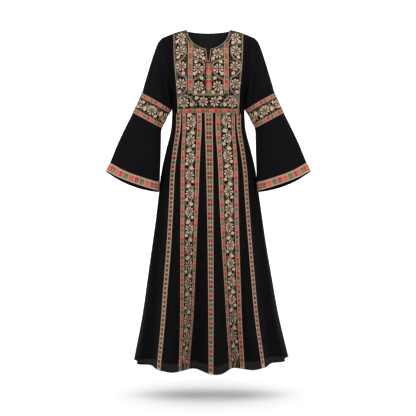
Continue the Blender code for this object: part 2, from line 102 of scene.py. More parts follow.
EdgeSection = namedtuple("EdgeSection", "height side_edge panel_edge front_depth back_depth")
BODICE = (
    EdgeSection(height=-0.337, side_edge=0.1515, panel_edge=0.127, front_depth=0.102, back_depth=0.084),
    EdgeSection(height=-0.285, side_edge=0.1540, panel_edge=0.128, front_depth=0.108, back_depth=0.088),
    EdgeSection(height=-0.234, side_edge=0.1600, panel_edge=0.131, front_depth=0.113, back_depth=0.093),
    EdgeSection(height=-0.171, side_edge=0.1650, panel_edge=0.137, front_depth=0.108, back_depth=0.097),
    EdgeSection(height=-0.108, side_edge=0.1700, panel_edge=0.142, front_depth=0.093, back_depth=0.096),
    EdgeSection(height=-0.050, side_edge=0.1810, panel_edge=0.144, front_depth=0.076, back_depth=0.084),
    EdgeSection(height=-0.017, side_edge=0.1940, panel_edge=0.145, front_depth=0.068, back_depth=0.072),
    EdgeSection(height=0.017, side_edge=0.1940, panel_edge=0.145, front_depth=0.060, back_depth=0.060),
)


def shoulder_line(x):
    out = (np.abs(x) - NECK_HALF_WIDTH) / (SHOULDER_HALF_WIDTH - NECK_HALF_WIDTH)
    straight = NECK_POINT_HEIGHT - out * (NECK_POINT_HEIGHT - SHOULDER_TIP_HEIGHT)
    return straight + 4 * SHOULDER_BOW * np.clip(out * (1 - out), 0, 1)


def neckline(x, side):
    """Height of the neck edge at x, on the front (side -1) or the back (side 1)."""
    x = np.abs(x)
    bottom = FRONT_NECK_HEIGHT if side < 0 else BACK_NECK_HEIGHT
    round_part = 1 - np.sqrt(np.clip(1 - (x / NECK_HALF_WIDTH) ** 2, 0, 1))
    height = bottom + (NECK_POINT_HEIGHT - bottom) * round_part
    if side > 0:
        return height
    across = (x - SLIT_BOTTOM_HALF_WIDTH) / (SLIT_TOP_HALF_WIDTH - SLIT_BOTTOM_HALF_WIDTH)
    slit = SLIT_BOTTOM_HEIGHT + (bottom - SLIT_BOTTOM_HEIGHT) * np.clip(across, 0, 1)
    return np.where(x < SLIT_TOP_HALF_WIDTH, slit, height)


def armhole_half_depth(height):
    middle = (UNDERARM_HEIGHT + SHOULDER_TIP_HEIGHT) / 2
    half = (SHOULDER_TIP_HEIGHT - UNDERARM_HEIGHT) / 2
    return ARMHOLE_HALF_DEPTH * np.sqrt(np.clip(1 - ((height - middle) / half) ** 2, 0, 1))


def shoulder_rounding(drop):
    share = np.clip(drop / SHOULDER_ROUNDING, 0, 1)
    return np.sqrt(1 - (1 - share) ** 2)


def bodice_depth(x, height, side):
    """How far the bodice stands before or behind the shoulder line at x and height."""
    name = "front_depth" if side < 0 else "back_depth"
    below_tip = np.minimum(height, SHOULDER_TIP_HEIGHT - 0.002)
    edge = by_height(BODICE, "side_edge", below_tip)
    full = by_height(BODICE, name, below_tip) * shoulder_rounding(shoulder_line(edge) - below_tip)
    share = np.clip(armhole_half_depth(below_tip) / full, 0, 0.97)
    half_width = edge / (1 - share**BODICE_ROUNDNESS) ** (1 / BODICE_ROUNDNESS)
    lateral = np.clip(1 - (np.abs(x) / half_width) ** BODICE_ROUNDNESS, 0, 1) ** (1 / BODICE_ROUNDNESS)
    return by_height(BODICE, name, height) * shoulder_rounding(shoulder_line(x) - height) * lateral


def bodice_across(share, height):
    """x at a share of the way out: 1 is the embroidered panel's edge and 2 the side seam or armhole."""
    panel = by_height(BODICE, "panel_edge", height)
    side = by_height(BODICE, "side_edge", height)
    return panel * np.minimum(share, 1) + (side - panel) * np.maximum(share - 1, 0)


def bodice_top(share, side):
    height = np.zeros_like(share)
    for _ in range(40):
        x = bodice_across(share, height)
        height = np.where(x < NECK_HALF_WIDTH, neckline(x, side), shoulder_line(x))
    return height


def bodice_point(share, edge_height, side):
    """A point of the bodice: a signed share across, and the height its row has at the armhole edge."""
    out = np.abs(share)
    trim_top = WAIST_HEIGHT + WAIST_TRIM_WIDTH
    up = (edge_height - trim_top) / (SHOULDER_TIP_HEIGHT - trim_top)
    height = np.where(up > 0, trim_top + up * (bodice_top(out, side) - trim_top), edge_height)
    x = bodice_across(out, height)
    y = side * (bodice_depth(x, height, side) + SEAM_GAP / 2)
    return np.stack([np.sign(share) * x, y, height], axis=-1)


# %% [markdown]
# ## The skirt
# The skirt is cut in flared gores, so its cloth fans out from the waist and falls into deep soft
# flutes at the hem. Each flute is a crest or a hollow line in a table; between two lines the cloth
# swings in one smooth wave, and the wave grows from nothing at the waist.
# %% Skirt form
HEM_FRONT_HEIGHT = -1.388
HEM_SIDE_HEIGHT = -1.359
HEM_BACK_HEIGHT = -1.385
HEM_ROUNDNESS = 2.0
HEM_DRIFT = 0.012
HEM_TILT = 0.006
HEM_SWAG = 0.10
FOLD_GROWTH = 1.6
CLOTH_SPREAD = math.radians(13.7)

SkirtSection = namedtuple("SkirtSection", "height half_width front_depth back_depth")
SKIRT = (
    SkirtSection(height=-0.337, half_width=0.1515, front_depth=0.102, back_depth=0.084),
    SkirtSection(height=-0.400, half_width=0.156, front_depth=0.107, back_depth=0.097),
    SkirtSection(height=-0.485, half_width=0.175, front_depth=0.117, back_depth=0.112),
    SkirtSection(height=-0.570, half_width=0.193, front_depth=0.127, back_depth=0.122),
    SkirtSection(height=-0.695, half_width=0.209, front_depth=0.138, back_depth=0.130),
    SkirtSection(height=-0.862, half_width=0.232, front_depth=0.153, back_depth=0.138),
    SkirtSection(height=-1.030, half_width=0.256, front_depth=0.167, back_depth=0.145),
    SkirtSection(height=-1.197, half_width=0.280, front_depth=0.181, back_depth=0.152),
    SkirtSection(height=-1.388, half_width=0.317, front_depth=0.192, back_depth=0.160),
)

SkirtFold = namedtuple("SkirtFold", "hem_angle outward")
SKIRT_FOLDS = (
    SkirtFold(hem_angle=-90.0, outward=0.000),
    SkirtFold(hem_angle=-78.0, outward=-0.006),
    SkirtFold(hem_angle=-66.0, outward=0.016),
    SkirtFold(hem_angle=-54.0, outward=-0.012),
    SkirtFold(hem_angle=-35.0, outward=0.037),
    SkirtFold(hem_angle=-28.5, outward=0.046),
    SkirtFold(hem_angle=-14.5, outward=-0.052),
    SkirtFold(hem_angle=3.7, outward=0.056),
    SkirtFold(hem_angle=18.0, outward=-0.040),
    SkirtFold(hem_angle=31.5, outward=0.035),
    SkirtFold(hem_angle=37.0, outward=0.029),
    SkirtFold(hem_angle=53.0, outward=-0.008),
    SkirtFold(hem_angle=65.0, outward=0.014),
    SkirtFold(hem_angle=78.0, outward=-0.005),
    SkirtFold(hem_angle=90.0, outward=0.000),
    SkirtFold(hem_angle=104.0, outward=0.018),
    SkirtFold(hem_angle=119.0, outward=-0.026),
    SkirtFold(hem_angle=135.0, outward=0.030),
    SkirtFold(hem_angle=150.0, outward=-0.032),
    SkirtFold(hem_angle=166.0, outward=0.034),
    SkirtFold(hem_angle=181.0, outward=-0.036),
    SkirtFold(hem_angle=197.0, outward=0.036),
    SkirtFold(hem_angle=213.0, outward=-0.030),
    SkirtFold(hem_angle=228.0, outward=0.032),
    SkirtFold(hem_angle=243.0, outward=-0.024),
    SkirtFold(hem_angle=257.0, outward=0.016),
    SkirtFold(hem_angle=270.0, outward=0.000),
)


def fold_outward(hem_angle, down):
    """How far the cloth stands off the plain skirt: smooth waves between the crests and hollows."""
    angles = np.radians(column(SKIRT_FOLDS, "hem_angle"))
    outward = column(SKIRT_FOLDS, "outward")
    turn = (hem_angle - angles[0]) % (2 * math.pi) + angles[0]
    i = np.clip(np.searchsorted(angles, turn) - 1, 0, len(angles) - 2)
    wave = (1 - np.cos(math.pi * (turn - angles[i]) / (angles[i + 1] - angles[i]))) / 2
    return (outward[i] + (outward[i + 1] - outward[i]) * wave) * down**FOLD_GROWTH


def skirt_point(hem_angle, down):
    """A point of the skirt: the angle of its cloth line at the hem, and the share of the way down."""
    angle = hem_angle + CLOTH_SPREAD * (1 - down) * np.sin(2 * hem_angle)
    front = np.cos(angle) >= 0
    hem_end = np.where(front, HEM_FRONT_HEIGHT, HEM_BACK_HEIGHT)
    hem = HEM_SIDE_HEIGHT + (hem_end - HEM_SIDE_HEIGHT) * np.cos(hem_angle) ** 2
    hem = hem + HEM_TILT * np.sin(hem_angle) - HEM_SWAG * fold_outward(hem_angle, 1.0)
    top = WAIST_HEIGHT - SEAM_GAP / 2
    level = top + down * (HEM_FRONT_HEIGHT - top)
    half_width = by_height(SKIRT, "half_width", level)
    depth = np.where(front, by_height(SKIRT, "front_depth", level), by_height(SKIRT, "back_depth", level))
    power = BODICE_ROUNDNESS + (HEM_ROUNDNESS - BODICE_ROUNDNESS) * down
    towards_front = np.clip(1 - np.abs(np.sin(angle)) ** power, 0, 1) ** (1 / power)
    x = half_width * np.sin(angle)
    y = -np.sign(np.cos(angle)) * depth * towards_front
    outward = unit(np.stack([np.sin(angle) / half_width, -np.cos(angle) / depth], axis=-1))
    fold = fold_outward(hem_angle, down)
    x = x + outward[..., 0] * fold + HEM_DRIFT * down**2
    y = y + outward[..., 1] * fold
    return np.stack([x, y, top + down * (hem - top)], axis=-1)


# %% [markdown]
# ## The sleeves
# Each sleeve starts in the armhole's own outline, turns into a soft oval tube, and flares into a
# bell below the embroidered band. It swings a little forward, as an arm does, and the bell carries
# a few shallow flutes.
# %% Sleeve form
SleeveRing = namedtuple(
    "SleeveRing", "outer_x outer_z inner_x inner_z half_depth centre_y droop tilt flute"
)
SLEEVE = (
    SleeveRing(0.1940, -0.0170, 0.1540, -0.2850, 0.068, 0.000, 0.000, 0.000, 0.000),
    SleeveRing(0.2100, -0.0360, 0.1546, -0.2890, 0.071, -0.001, 0.000, 0.000, 0.000),
    SleeveRing(0.2235, -0.0700, 0.1552, -0.2940, 0.073, -0.003, 0.000, 0.000, 0.000),
    SleeveRing(0.2380, -0.1150, 0.1558, -0.3000, 0.073, -0.005, 0.000, 0.000, 0.001),
    SleeveRing(0.2530, -0.1650, 0.1564, -0.3060, 0.071, -0.007, 0.000, 0.000, 0.001),
    SleeveRing(0.2660, -0.2090, 0.1570, -0.3120, 0.068, -0.009, 0.000, 0.000, 0.001),
    SleeveRing(0.2780, -0.2490, 0.1580, -0.3180, 0.065, -0.012, 0.000, 0.000, 0.000),
    SleeveRing(0.2965, -0.2900, 0.1755, -0.3575, 0.063, -0.015, 0.001, 0.000, 0.000),
    SleeveRing(0.3155, -0.3310, 0.1940, -0.3965, 0.061, -0.018, 0.002, 0.000, 0.000),
    SleeveRing(0.3440, -0.3960, 0.1960, -0.4450, 0.061, -0.027, 0.005, 0.001, 0.001),
    SleeveRing(0.3735, -0.4660, 0.1965, -0.5150, 0.062, -0.040, 0.010, 0.001, 0.002),
    SleeveRing(0.4030, -0.5440, 0.1990, -0.6220, 0.064, -0.058, 0.013, 0.004, 0.004),
    SleeveRing(0.4195, -0.5785, 0.2015, -0.6590, 0.066, -0.066, 0.013, 0.007, 0.005),
)
BAND_TOP_RING = 6
BAND_BOTTOM_RING = 8
CUFF_TRIM_RING = 11
CUFF_RING = 12
FLUTE_COUNT = 5
FLUTE_PHASE = 0.6
OVAL_FULLNESS = 0.92
ARMHOLE_FADE_RINGS = 4.0


def armhole_point(angle):
    middle = (UNDERARM_HEIGHT + SHOULDER_TIP_HEIGHT) / 2
    height = middle + (SHOULDER_TIP_HEIGHT - UNDERARM_HEIGHT) / 2 * np.cos(angle)
    x = by_height(BODICE, "side_edge", height) + SEAM_GAP
    return np.stack([x, -ARMHOLE_HALF_DEPTH * np.sin(angle), height], axis=-1)


def oval_point(angle, ring):
    """A point of the plain sleeve: 0 is its outer line and half a turn its inner line, past the front."""
    rings = np.arange(len(SLEEVE))
    at = {name: smooth_curve(rings, column(SLEEVE, name), ring) for name in SleeveRing._fields}
    across_x, across_z = at["outer_x"] - at["inner_x"], at["outer_z"] - at["inner_z"]
    width = np.hypot(across_x, across_z)
    along_x, along_z = across_z / width, -across_x / width
    front = np.sin(angle)
    flute = at["flute"] * np.cos(FLUTE_COUNT * angle + FLUTE_PHASE)
    reach = (1 + 2 * flute / width) * np.cos(angle) / 2
    down = at["droop"] * front**2 - at["tilt"] * front
    x = (at["outer_x"] + at["inner_x"]) / 2 + across_x * reach + along_x * down
    z = (at["outer_z"] + at["inner_z"]) / 2 + across_z * reach + along_z * down
    y = at["centre_y"] - (at["half_depth"] + flute) * np.sign(front) * np.abs(front) ** OVAL_FULLNESS
    return np.stack([x, y, z], axis=-1)


def sleeve_point(angle, ring):
    """The sleeve: the armhole's own outline at its top, easing into ovals further down."""
    fade = np.clip(1 - ring / ARMHOLE_FADE_RINGS, 0, 1) ** 2
    moved = armhole_point(angle) - oval_point(angle, np.zeros_like(ring))
    return oval_point(angle, ring) + moved * fade[..., None]


# %% [markdown]
# ## Creases
# Soft crepe hangs in shallow troughs and ridges that start at a strained point, such as the
# underarm, and die out down the cloth. Each crease is one row: where it starts and ends on the
# cloth, how wide it is, and how far it lifts or sinks. Their sum pushes the cloth along its normals.
# %% Creases as soft ridges and troughs
Crease = namedtuple("Crease", "across down to_across to_down width lift")


def creased(across, down, creases, wrap=None):
    """The lift at each point of the cloth, in metres, from a table of creases."""
    total = np.zeros_like(across)
    for crease in creases:
        way = np.array([crease.to_across - crease.across, crease.to_down - crease.down])
        length = np.hypot(*way)
        off = across - crease.across
        if wrap:
            off = (off + wrap / 2) % wrap - wrap / 2
        along = (off * way[0] + (down - crease.down) * way[1]) / length**2
        aside = (off * way[1] - (down - crease.down) * way[0]) / length
        ends = np.clip(1 - (2 * along - 1) ** 2, 0, 1) ** 1.3
        spread = crease.width * (0.7 + 0.6 * np.clip(along, 0, 1))
        total += crease.lift * ends * np.exp(-((aside / spread) ** 2))
    return total


# %% [markdown]
# ## Cloth as a grid of points
# A sheet of cloth is a grid of rows and columns. Its normals come from the little quads between
# the points, the creases lift the points along them, and the finished shell is that grid with a
# second one a cloth's thickness below it.
# %% Grids, normals and shells
CLOTH_THICKNESS = 0.0012
Cloth = namedtuple("Cloth", "points normals closed")


def grid_normals(points, closed, flip):
    """Unit normals at a grid of points, [row, column], each the mean of those of the quads round it."""
    if closed:
        points = np.concatenate([points[:, -1:], points, points[:, :1]], axis=1)
    total = np.zeros_like(points)
    quads = unit(np.cross(points[1:, 1:] - points[:-1, :-1], points[1:, :-1] - points[:-1, 1:]))
    for rows in (slice(None, -1), slice(1, None)):
        for columns in (slice(None, -1), slice(1, None)):
            total[rows, columns] += quads
    if closed:
        total = total[:, 1:-1]
    return flip * unit(total)


def folded_cloth(points, flip, lift, closed=False):
    """Cloth with its creases: the grid moved along its own normals."""
    lifted = points + grid_normals(points, closed, flip) * lift[..., None]
    return Cloth(lifted, grid_normals(lifted, closed, flip), closed)


def part_of(cloth, rows=slice(None), columns=slice(None)):
    return Cloth(cloth.points[rows, columns], cloth.normals[rows, columns], cloth.closed)


def metres_along(points, axis):
    """Distance along the grid's rows (axis 1) or columns (axis 0), for maps that fit the real cloth."""
    steps = np.linalg.norm(np.diff(points, axis=axis), axis=-1)
    start = np.zeros_like(np.take(steps, [0], axis=axis))
    return np.concatenate([start, np.cumsum(steps, axis=axis)], axis=axis)


def mesh_object(name, points, faces, uvs, looks, materials):
    """A mesh piece from its points, quads, a map of (u, v) in metres and a material number per quad."""
    mesh = bpy.data.meshes.new(name)
    mesh.from_pydata(points.tolist(), [], faces.tolist())
    mesh.uv_layers.new(name="cloth_metres").data.foreach_set("uv", uvs[faces].astype(np.float32).ravel())
    for material in materials:
        mesh.materials.append(material)
    mesh.polygons.foreach_set("material_index", np.asarray(looks, dtype=np.int32))
    mesh.shade_smooth()
    made = bpy.data.objects.new(name, mesh)
    bpy.context.scene.collection.objects.link(made)
    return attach(made, "root")


def cloth_shell(name, cloth, materials, above=0.0, thickness=CLOTH_THICKNESS, looks=None, inside=0):
    """A thin closed shell under a grid of cloth, or lying on it where above is more than nothing.

    looks gives each row of quads its material, and inside is what the wrong side adds to that."""
    rows, columns = cloth.points.shape[:2]
    outer = cloth.points + cloth.normals * (above + (thickness if above else 0))
    inner = outer - cloth.normals * thickness
    across, down = metres_along(cloth.points, 1), metres_along(cloth.points, 0)
    points = np.concatenate([outer.reshape(-1, 3), inner.reshape(-1, 3)])
    uvs = np.tile(np.stack([across, down], axis=-1).reshape(-1, 2), (2, 1))
    index = np.arange(2 * rows * columns).reshape(2, rows, columns)
    if cloth.closed:
        index = np.concatenate([index, index[:, :, :1]], axis=2)
    out, back = index
    faces = [
        np.stack((out[:-1, :-1], out[1:, :-1], out[1:, 1:], out[:-1, 1:]), axis=-1).reshape(-1, 4),
        np.stack((back[:-1, :-1], back[:-1, 1:], back[1:, 1:], back[1:, :-1]), axis=-1).reshape(-1, 4),
    ]
    top, bottom = index[:, 0, :], index[:, -1, :]
    faces.append(np.stack([top[0, :-1], top[0, 1:], top[1, 1:], top[1, :-1]], axis=-1))
    faces.append(np.stack([bottom[0, 1:], bottom[0, :-1], bottom[1, :-1], bottom[1, 1:]], axis=-1))
    if not cloth.closed:
        left, right = index[:, :, 0], index[:, :, -1]
        faces.append(np.stack([left[0, 1:], left[0, :-1], left[1, :-1], left[1, 1:]], axis=-1))
        faces.append(np.stack([right[0, :-1], right[0, 1:], right[1, 1:], right[1, :-1]], axis=-1))
    looks = np.zeros(rows - 1, dtype=int) if looks is None else np.asarray(looks)
    each_row = np.repeat(looks, len(faces[0]) // (rows - 1))
    finishes = [each_row, each_row + inside, *(np.full(len(edge), looks[-1]) for edge in faces[2:])]
    faces = np.concatenate(faces)
    flip = signed_volume(points, faces) < 0
    faces = faces[:, ::-1] if flip else faces
    return mesh_object(name, points, faces, uvs, np.concatenate(finishes), materials)


def signed_volume(points, faces):
    a, b, c, d = (points[faces[:, i]] for i in range(4))
    return np.sum(np.cross(b - a, c - a) * a) + np.sum(np.cross(c - a, d - a) * a)


# %% [markdown]
# ## The cut of each piece
# Every piece was flat before it was sewn. For each piece the cross products of its quads' diagonals
# are worked out here, but neither its size nor its area is kept.
# %% Quads of each piece


def cut_piece(cloth):
    """Works out the cross products of a piece's quad diagonals, and keeps nothing of them."""
    points = np.concatenate([cloth.points, cloth.points[:, :1]], axis=1) if cloth.closed else cloth.points
    crossed = np.cross(points[1:, 1:] - points[:-1, :-1], points[1:, :-1] - points[:-1, 1:])


# %% [markdown]
# ## Writing shaders as sums
# A material is easier to read as a formula than as a web of nodes. This small class holds one
# node output; adding or multiplying it makes the Math node, and `node` makes any other kind.
# %% A socket that Python can calculate with


class Flow:
    """One output of a shader's nodes, with which Python can calculate."""

    def __init__(self, tree, socket=None):
        self.tree = tree
        self.socket = socket

    def node(self, kind, settings=None, inputs=None, output=0):
        """Adds a node: its settings first, then the values or links of its sockets."""
        made = self.tree.nodes.new(kind)
        for name, value in (settings or {}).items():
            setattr(made, name, value)
        for name, value in (inputs or {}).items():
            if isinstance(value, Flow):
                self.tree.links.new(value.socket, made.inputs[name])
            else:
                made.inputs[name].default_value = value
        return Flow(self.tree, made.outputs[output])

    def maths(self, operation, *values):
        return self.node("ShaderNodeMath", {"operation": operation}, dict(enumerate(values)))

    def __add__(self, other):
        return self.maths("ADD", self, other)

    __radd__ = __add__

    def __mul__(self, other):
        return self.maths("MULTIPLY", self, other)

    __rmul__ = __mul__

    def __sub__(self, other):
        return self.maths("SUBTRACT", self, other)

    def __rsub__(self, other):
        return self.maths("SUBTRACT", other, self)

    def sine(self):
        return self.maths("SINE", self)

    def clamped(self):
        return self.node("ShaderNodeClamp", inputs={"Value": self})

    def between(self, dark, light):
        """A colour between two, by this value."""
        picks = {"data_type": "RGBA"}
        return self.node("ShaderNodeMix", picks, {0: self, 6: (*dark, 1), 7: (*light, 1)}, 2)


def new_material(name, **constants):
    """A material and its start: the Principled shader with its constant sockets set."""
    material = bpy.data.materials.new(name)
    material.use_nodes = True
    tree = material.node_tree
    shader = tree.nodes["Principled BSDF"]
    for socket, value in constants.items():
        shader.inputs[socket.replace("_", " ")].default_value = value
    return material, Flow(tree), shader


def feed(flow, shader, socket):
    flow.tree.links.new(flow.socket, shader.inputs[socket])


# %% [markdown]
# ## Black crepe
# Crepe is a matt, slightly pebbled cloth: its twisted yarns shrink into tiny random grains. Noise
# makes the grain, two crossed sines make the yarns between them, and a broad soft noise lets the
# black drift a little, as dyed cloth does. Sheen gives the faint light along each fold.
# %% Black crepe
YARNS_PER_METRE = 2600


def cloth_coordinates(start):
    """The cloth's own map in metres, as separate across and down values."""
    where = start.node("ShaderNodeUVMap", {"uv_map": "cloth_metres"})
    split = start.node("ShaderNodeSeparateXYZ", inputs={0: where})
    return where, split, Flow(start.tree, split.socket.node.outputs[1])


def emboss(start, shader, relief, strength, distance):
    """Raises the surface by the relief, in the shading alone."""
    feed(start.node("ShaderNodeBump", inputs={"Strength": strength, "Distance": distance, "Height": relief}),
         shader, "Normal")


def crepe_material(name, dark, light, sheen):
    cool_white = (0.9, 0.9, 0.95, 1)
    material, start, shader = new_material(
        name, Specular_IOR_Level=0.012, Sheen_Weight=sheen, Sheen_Roughness=0.5, Sheen_Tint=cool_white
    )
    where, across, down = cloth_coordinates(start)
    grain = start.node("ShaderNodeTexNoise", inputs={"Vector": where, "Scale": 1500, "Detail": 2})
    drift = start.node("ShaderNodeTexNoise", inputs={"Vector": where, "Scale": 14, "Detail": 3})
    yarns = (across * (YARNS_PER_METRE * 2)).sine() * (down * (YARNS_PER_METRE * 2)).sine()
    feed((drift * 0.7 + grain * 0.3).between(dark, light), shader, "Base Color")
    feed(0.72 + drift * 0.2, shader, "Roughness")
    pebbles = grain + yarns * 0.25
    emboss(start, shader, pebbles, strength=0.5, distance=0.0004)
    return material


black_crepe = crepe_material("black_crepe", (0.0024, 0.0024, 0.0028), (0.0070, 0.0069, 0.0077), 0.006)
# Painted light: the sleeves take a lighter copy of the same crepe, because they catch more of the light than the
# skirt.
painted_light_sleeve_crepe = crepe_material("painted_light_sleeve_crepe", (0.0030, 0.0029, 0.0035), (0.0082, 0.0080, 0.0094), 0.007)
# Painted light: the bodice's wrong side takes this crepe, about ten times lighter than the black, for the light
# that reaches inside the back neck.
painted_light_inside_crepe = crepe_material("painted_light_inside_crepe", (0.0240, 0.0240, 0.0255), (0.0380, 0.0380, 0.0400), 0.08)
single_crepe = crepe_material("single_crepe", (0.0022, 0.0022, 0.0026), (0.0064, 0.0063, 0.0070), 0.006)
single_crepe.node_tree.nodes["Principled BSDF"].inputs["Alpha"].default_value = 0.905
print("made", ", ".join(m.name for m in (black_crepe, painted_light_sleeve_crepe, painted_light_inside_crepe, single_crepe)))

# %% [markdown]
# ## Embroidery threads
# Satin stitch lies side by side, so each motif is a row of fine parallel threads with a silky
# light on their crowns. The motif's map runs along its own length, so one sine across it gives the
# threads, and noise makes some a shade darker.
# %% Embroidery threads
THREADS_PER_METRE = 1900


def thread_material(name, dark, light, gloss=0.45):
    material, start, shader = new_material(name, Specular_IOR_Level=0.3, Sheen_Weight=0.03)
    where, along, _ = cloth_coordinates(start)
    strand = (along * (THREADS_PER_METRE * math.pi)).sine()
    wear = start.node("ShaderNodeTexNoise", inputs={"Vector": where, "Scale": 420, "Detail": 3})
    shade = (wear * 1.3 - 0.15 + strand * strand * 0.25).clamped()
    feed(shade.between(dark, light), shader, "Base Color")
    feed(gloss + wear * 0.3, shader, "Roughness")
    relief = strand * strand + wear * 0.3
    emboss(start, shader, relief, strength=0.6, distance=0.0003)
    return material


THREADS = {
    "petal": thread_material("petal_thread", (0.34, 0.245, 0.155), (0.62, 0.475, 0.315)),
    "sand": thread_material("sand_thread", (0.33, 0.240, 0.155), (0.50, 0.375, 0.250)),
    "tan": thread_material("tan_thread", (0.24, 0.165, 0.105), (0.40, 0.29, 0.19)),
    "brown": thread_material("brown_thread", (0.10, 0.072, 0.052), (0.21, 0.155, 0.11)),
    "red": thread_material("red_thread", (0.30, 0.006, 0.012), (0.54, 0.022, 0.032)),
    "wine": thread_material("wine_thread", (0.14, 0.003, 0.006), (0.27, 0.011, 0.015)),
    "deep_red": thread_material("deep_red_thread", (0.060, 0.002, 0.004), (0.145, 0.006, 0.009)),
    "salmon": thread_material("salmon_thread", (0.37, 0.048, 0.033), (0.58, 0.105, 0.070)),
    # Painted shade: a darker copy of the salmon thread, used in its place low on the skirt.
    "brick": thread_material("brick_thread", (0.27, 0.040, 0.030), (0.44, 0.085, 0.060)),
    "green": thread_material("green_thread", (0.060, 0.074, 0.020), (0.130, 0.150, 0.045)),
    "deep_green": thread_material("deep_green_thread", (0.026, 0.030, 0.010), (0.068, 0.076, 0.026)),
    "umber": thread_material("umber_thread", (0.040, 0.028, 0.022), (0.095, 0.068, 0.052)),
}
THREAD_NAMES = list(THREADS)
print("threads:", ", ".join(THREAD_NAMES))

# %% [markdown]
# ## Fine cloth for the bodice
# The rows run from the waist to the shoulder and neck edges, and the columns stand closer together
# at the neck, where the edge curves most. The creases pull from the armholes towards the chest.
# %% Bodice cloth
BODICE_CREASES = (
    Crease(across=0.168, down=-0.045, to_across=0.148, to_down=-0.300, width=0.008, lift=-0.0060),
    Crease(across=0.177, down=-0.060, to_across=0.158, to_down=-0.290, width=0.007, lift=0.0045),
    Crease(across=-0.166, down=-0.055, to_across=-0.147, to_down=-0.310, width=0.008, lift=-0.0060),
    Crease(across=-0.176, down=-0.070, to_across=-0.157, to_down=-0.300, width=0.007, lift=0.0045),
)
BACK_CREASES = (
    Crease(across=0.150, down=-0.080, to_across=0.095, to_down=-0.290, width=0.014, lift=0.0045),
    Crease(across=-0.150, down=-0.095, to_across=-0.090, to_down=-0.300, width=0.015, lift=0.0040),
    Crease(across=0.120, down=-0.140, to_across=0.060, to_down=-0.320, width=0.014, lift=-0.0040),
    Crease(across=-0.118, down=-0.150, to_across=-0.050, to_down=-0.325, width=0.014, lift=-0.0040),
    Crease(across=0.020, down=-0.060, to_across=0.012, to_down=-0.300, width=0.018, lift=0.0035),
)


def bodice_shares(side):
    """Shares across the bodice where its columns run, from side to side."""
    panel_top = BODICE[-1].panel_edge
    neck_point = NECK_HALF_WIDTH / panel_top
    ease = np.sin(np.linspace(0, math.pi / 2, 26)) * neck_point
    if side < 0:
        slit = [SLIT_BOTTOM_HALF_WIDTH / 0.1425, 0.065, SLIT_TOP_HALF_WIDTH / 0.1435]
        to_neck = [0.02, *slit, *ease[ease > 0.11]]
    else:
        to_neck = [*ease[1:]]
    out = [*np.linspace(neck_point, 1, 12)[1:], *np.linspace(1, 2, 15)[1:]]
    half = [*to_neck, *out]
    return np.array([*(-s for s in reversed(half)), 0.0, *half])


def bodice_rows():
    """Edge heights of the bodice's rows, closer together towards the shoulder and the underarm."""
    seam = WAIST_HEIGHT + WAIST_TRIM_WIDTH
    armhole = np.linspace(math.pi, 0, 61)
    middle = (UNDERARM_HEIGHT + SHOULDER_TIP_HEIGHT) / 2
    heights = middle + (SHOULDER_TIP_HEIGHT - UNDERARM_HEIGHT) / 2 * np.cos(armhole)
    low = [WAIST_HEIGHT + SEAM_GAP / 2, -0.329, seam - SEAM_GAP / 2, seam + SEAM_GAP / 2, -0.312, -0.304, -0.295]
    return np.array([*low, *heights])


PANEL_ROW = 3
bodice_cloth = {}
for side, creases in ((-1, BODICE_CREASES), (1, BACK_CREASES)):
    share, height = np.meshgrid(bodice_shares(side), bodice_rows())
    plain = bodice_point(share, height, side)
    lift = creased(plain[..., 0], plain[..., 2], creases)
    bodice_cloth[side] = folded_cloth(plain, -side, lift * np.clip((2 - np.abs(share)) * 6, 0, 1))
# The wrong side of the bodice takes the lighter crepe: painted light on the inside of the back neck.
crepes = [black_crepe, painted_light_inside_crepe]
front_bodice = cloth_shell("front_bodice_cloth", bodice_cloth[-1], crepes, inside=1)
back_bodice = cloth_shell("back_bodice_cloth", bodice_cloth[1], crepes, inside=1)
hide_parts("front_bodice")
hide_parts("back_bodice")
cut_piece(bodice_cloth[-1])
cut_piece(bodice_cloth[1])
print("bodice rows and columns:", bodice_cloth[-1].points.shape[:2])

# %% [markdown]
# ## Fine cloth for the skirt
# The same cloth lines as the solid's, ten times closer. Besides the deep flutes, the black gores
# show narrow hanging creases between the stiffer stripes, which start under the waist.
# %% Skirt cloth
SKIRT_CHART_RADIUS = 0.25
SKIRT_LENGTH = 1.05
SKIRT_CREASES = (
    Crease(across=-0.33, down=0.05, to_across=-0.30, to_down=0.62, width=0.010, lift=0.0030),
    Crease(across=-0.27, down=0.08, to_across=-0.25, to_down=0.80, width=0.011, lift=-0.0032),
    Crease(across=-0.248, down=0.04, to_across=-0.228, to_down=0.66, width=0.007, lift=0.0028),
    Crease(across=-0.126, down=0.20, to_across=-0.146, to_down=1.00, width=0.008, lift=-0.0042),
    Crease(across=-0.110, down=0.45, to_across=-0.118, to_down=1.04, width=0.007, lift=0.0030),
    Crease(across=-0.027, down=0.10, to_across=-0.042, to_down=0.95, width=0.006, lift=-0.0036),
    Crease(across=0.031, down=0.08, to_across=0.034, to_down=0.95, width=0.006, lift=-0.0036),
    Crease(across=0.140, down=0.22, to_across=0.144, to_down=1.00, width=0.008, lift=-0.0042),
    Crease(across=0.126, down=0.50, to_across=0.124, to_down=1.04, width=0.007, lift=0.0030),
    Crease(across=0.252, down=0.05, to_across=0.230, to_down=0.68, width=0.007, lift=0.0028),
    Crease(across=0.28, down=0.07, to_across=0.26, to_down=0.78, width=0.011, lift=-0.0032),
    Crease(across=0.34, down=0.05, to_across=0.31, to_down=0.58, width=0.010, lift=0.0030),
    Crease(across=0.47, down=0.02, to_across=0.46, to_down=0.60, width=0.014, lift=0.0045),
    Crease(across=0.56, down=0.04, to_across=0.54, to_down=0.75, width=0.014, lift=-0.0045),
    Crease(across=0.66, down=0.02, to_across=0.67, to_down=0.55, width=0.013, lift=0.0045),
    Crease(across=0.75, down=0.05, to_across=0.76, to_down=0.70, width=0.013, lift=-0.0042),
    Crease(across=0.84, down=0.02, to_across=0.84, to_down=0.62, width=0.013, lift=0.0045),
    Crease(across=0.95, down=0.03, to_across=0.97, to_down=0.66, width=0.014, lift=-0.0045),
    Crease(across=1.06, down=0.02, to_across=1.08, to_down=0.58, width=0.014, lift=0.0042),
)


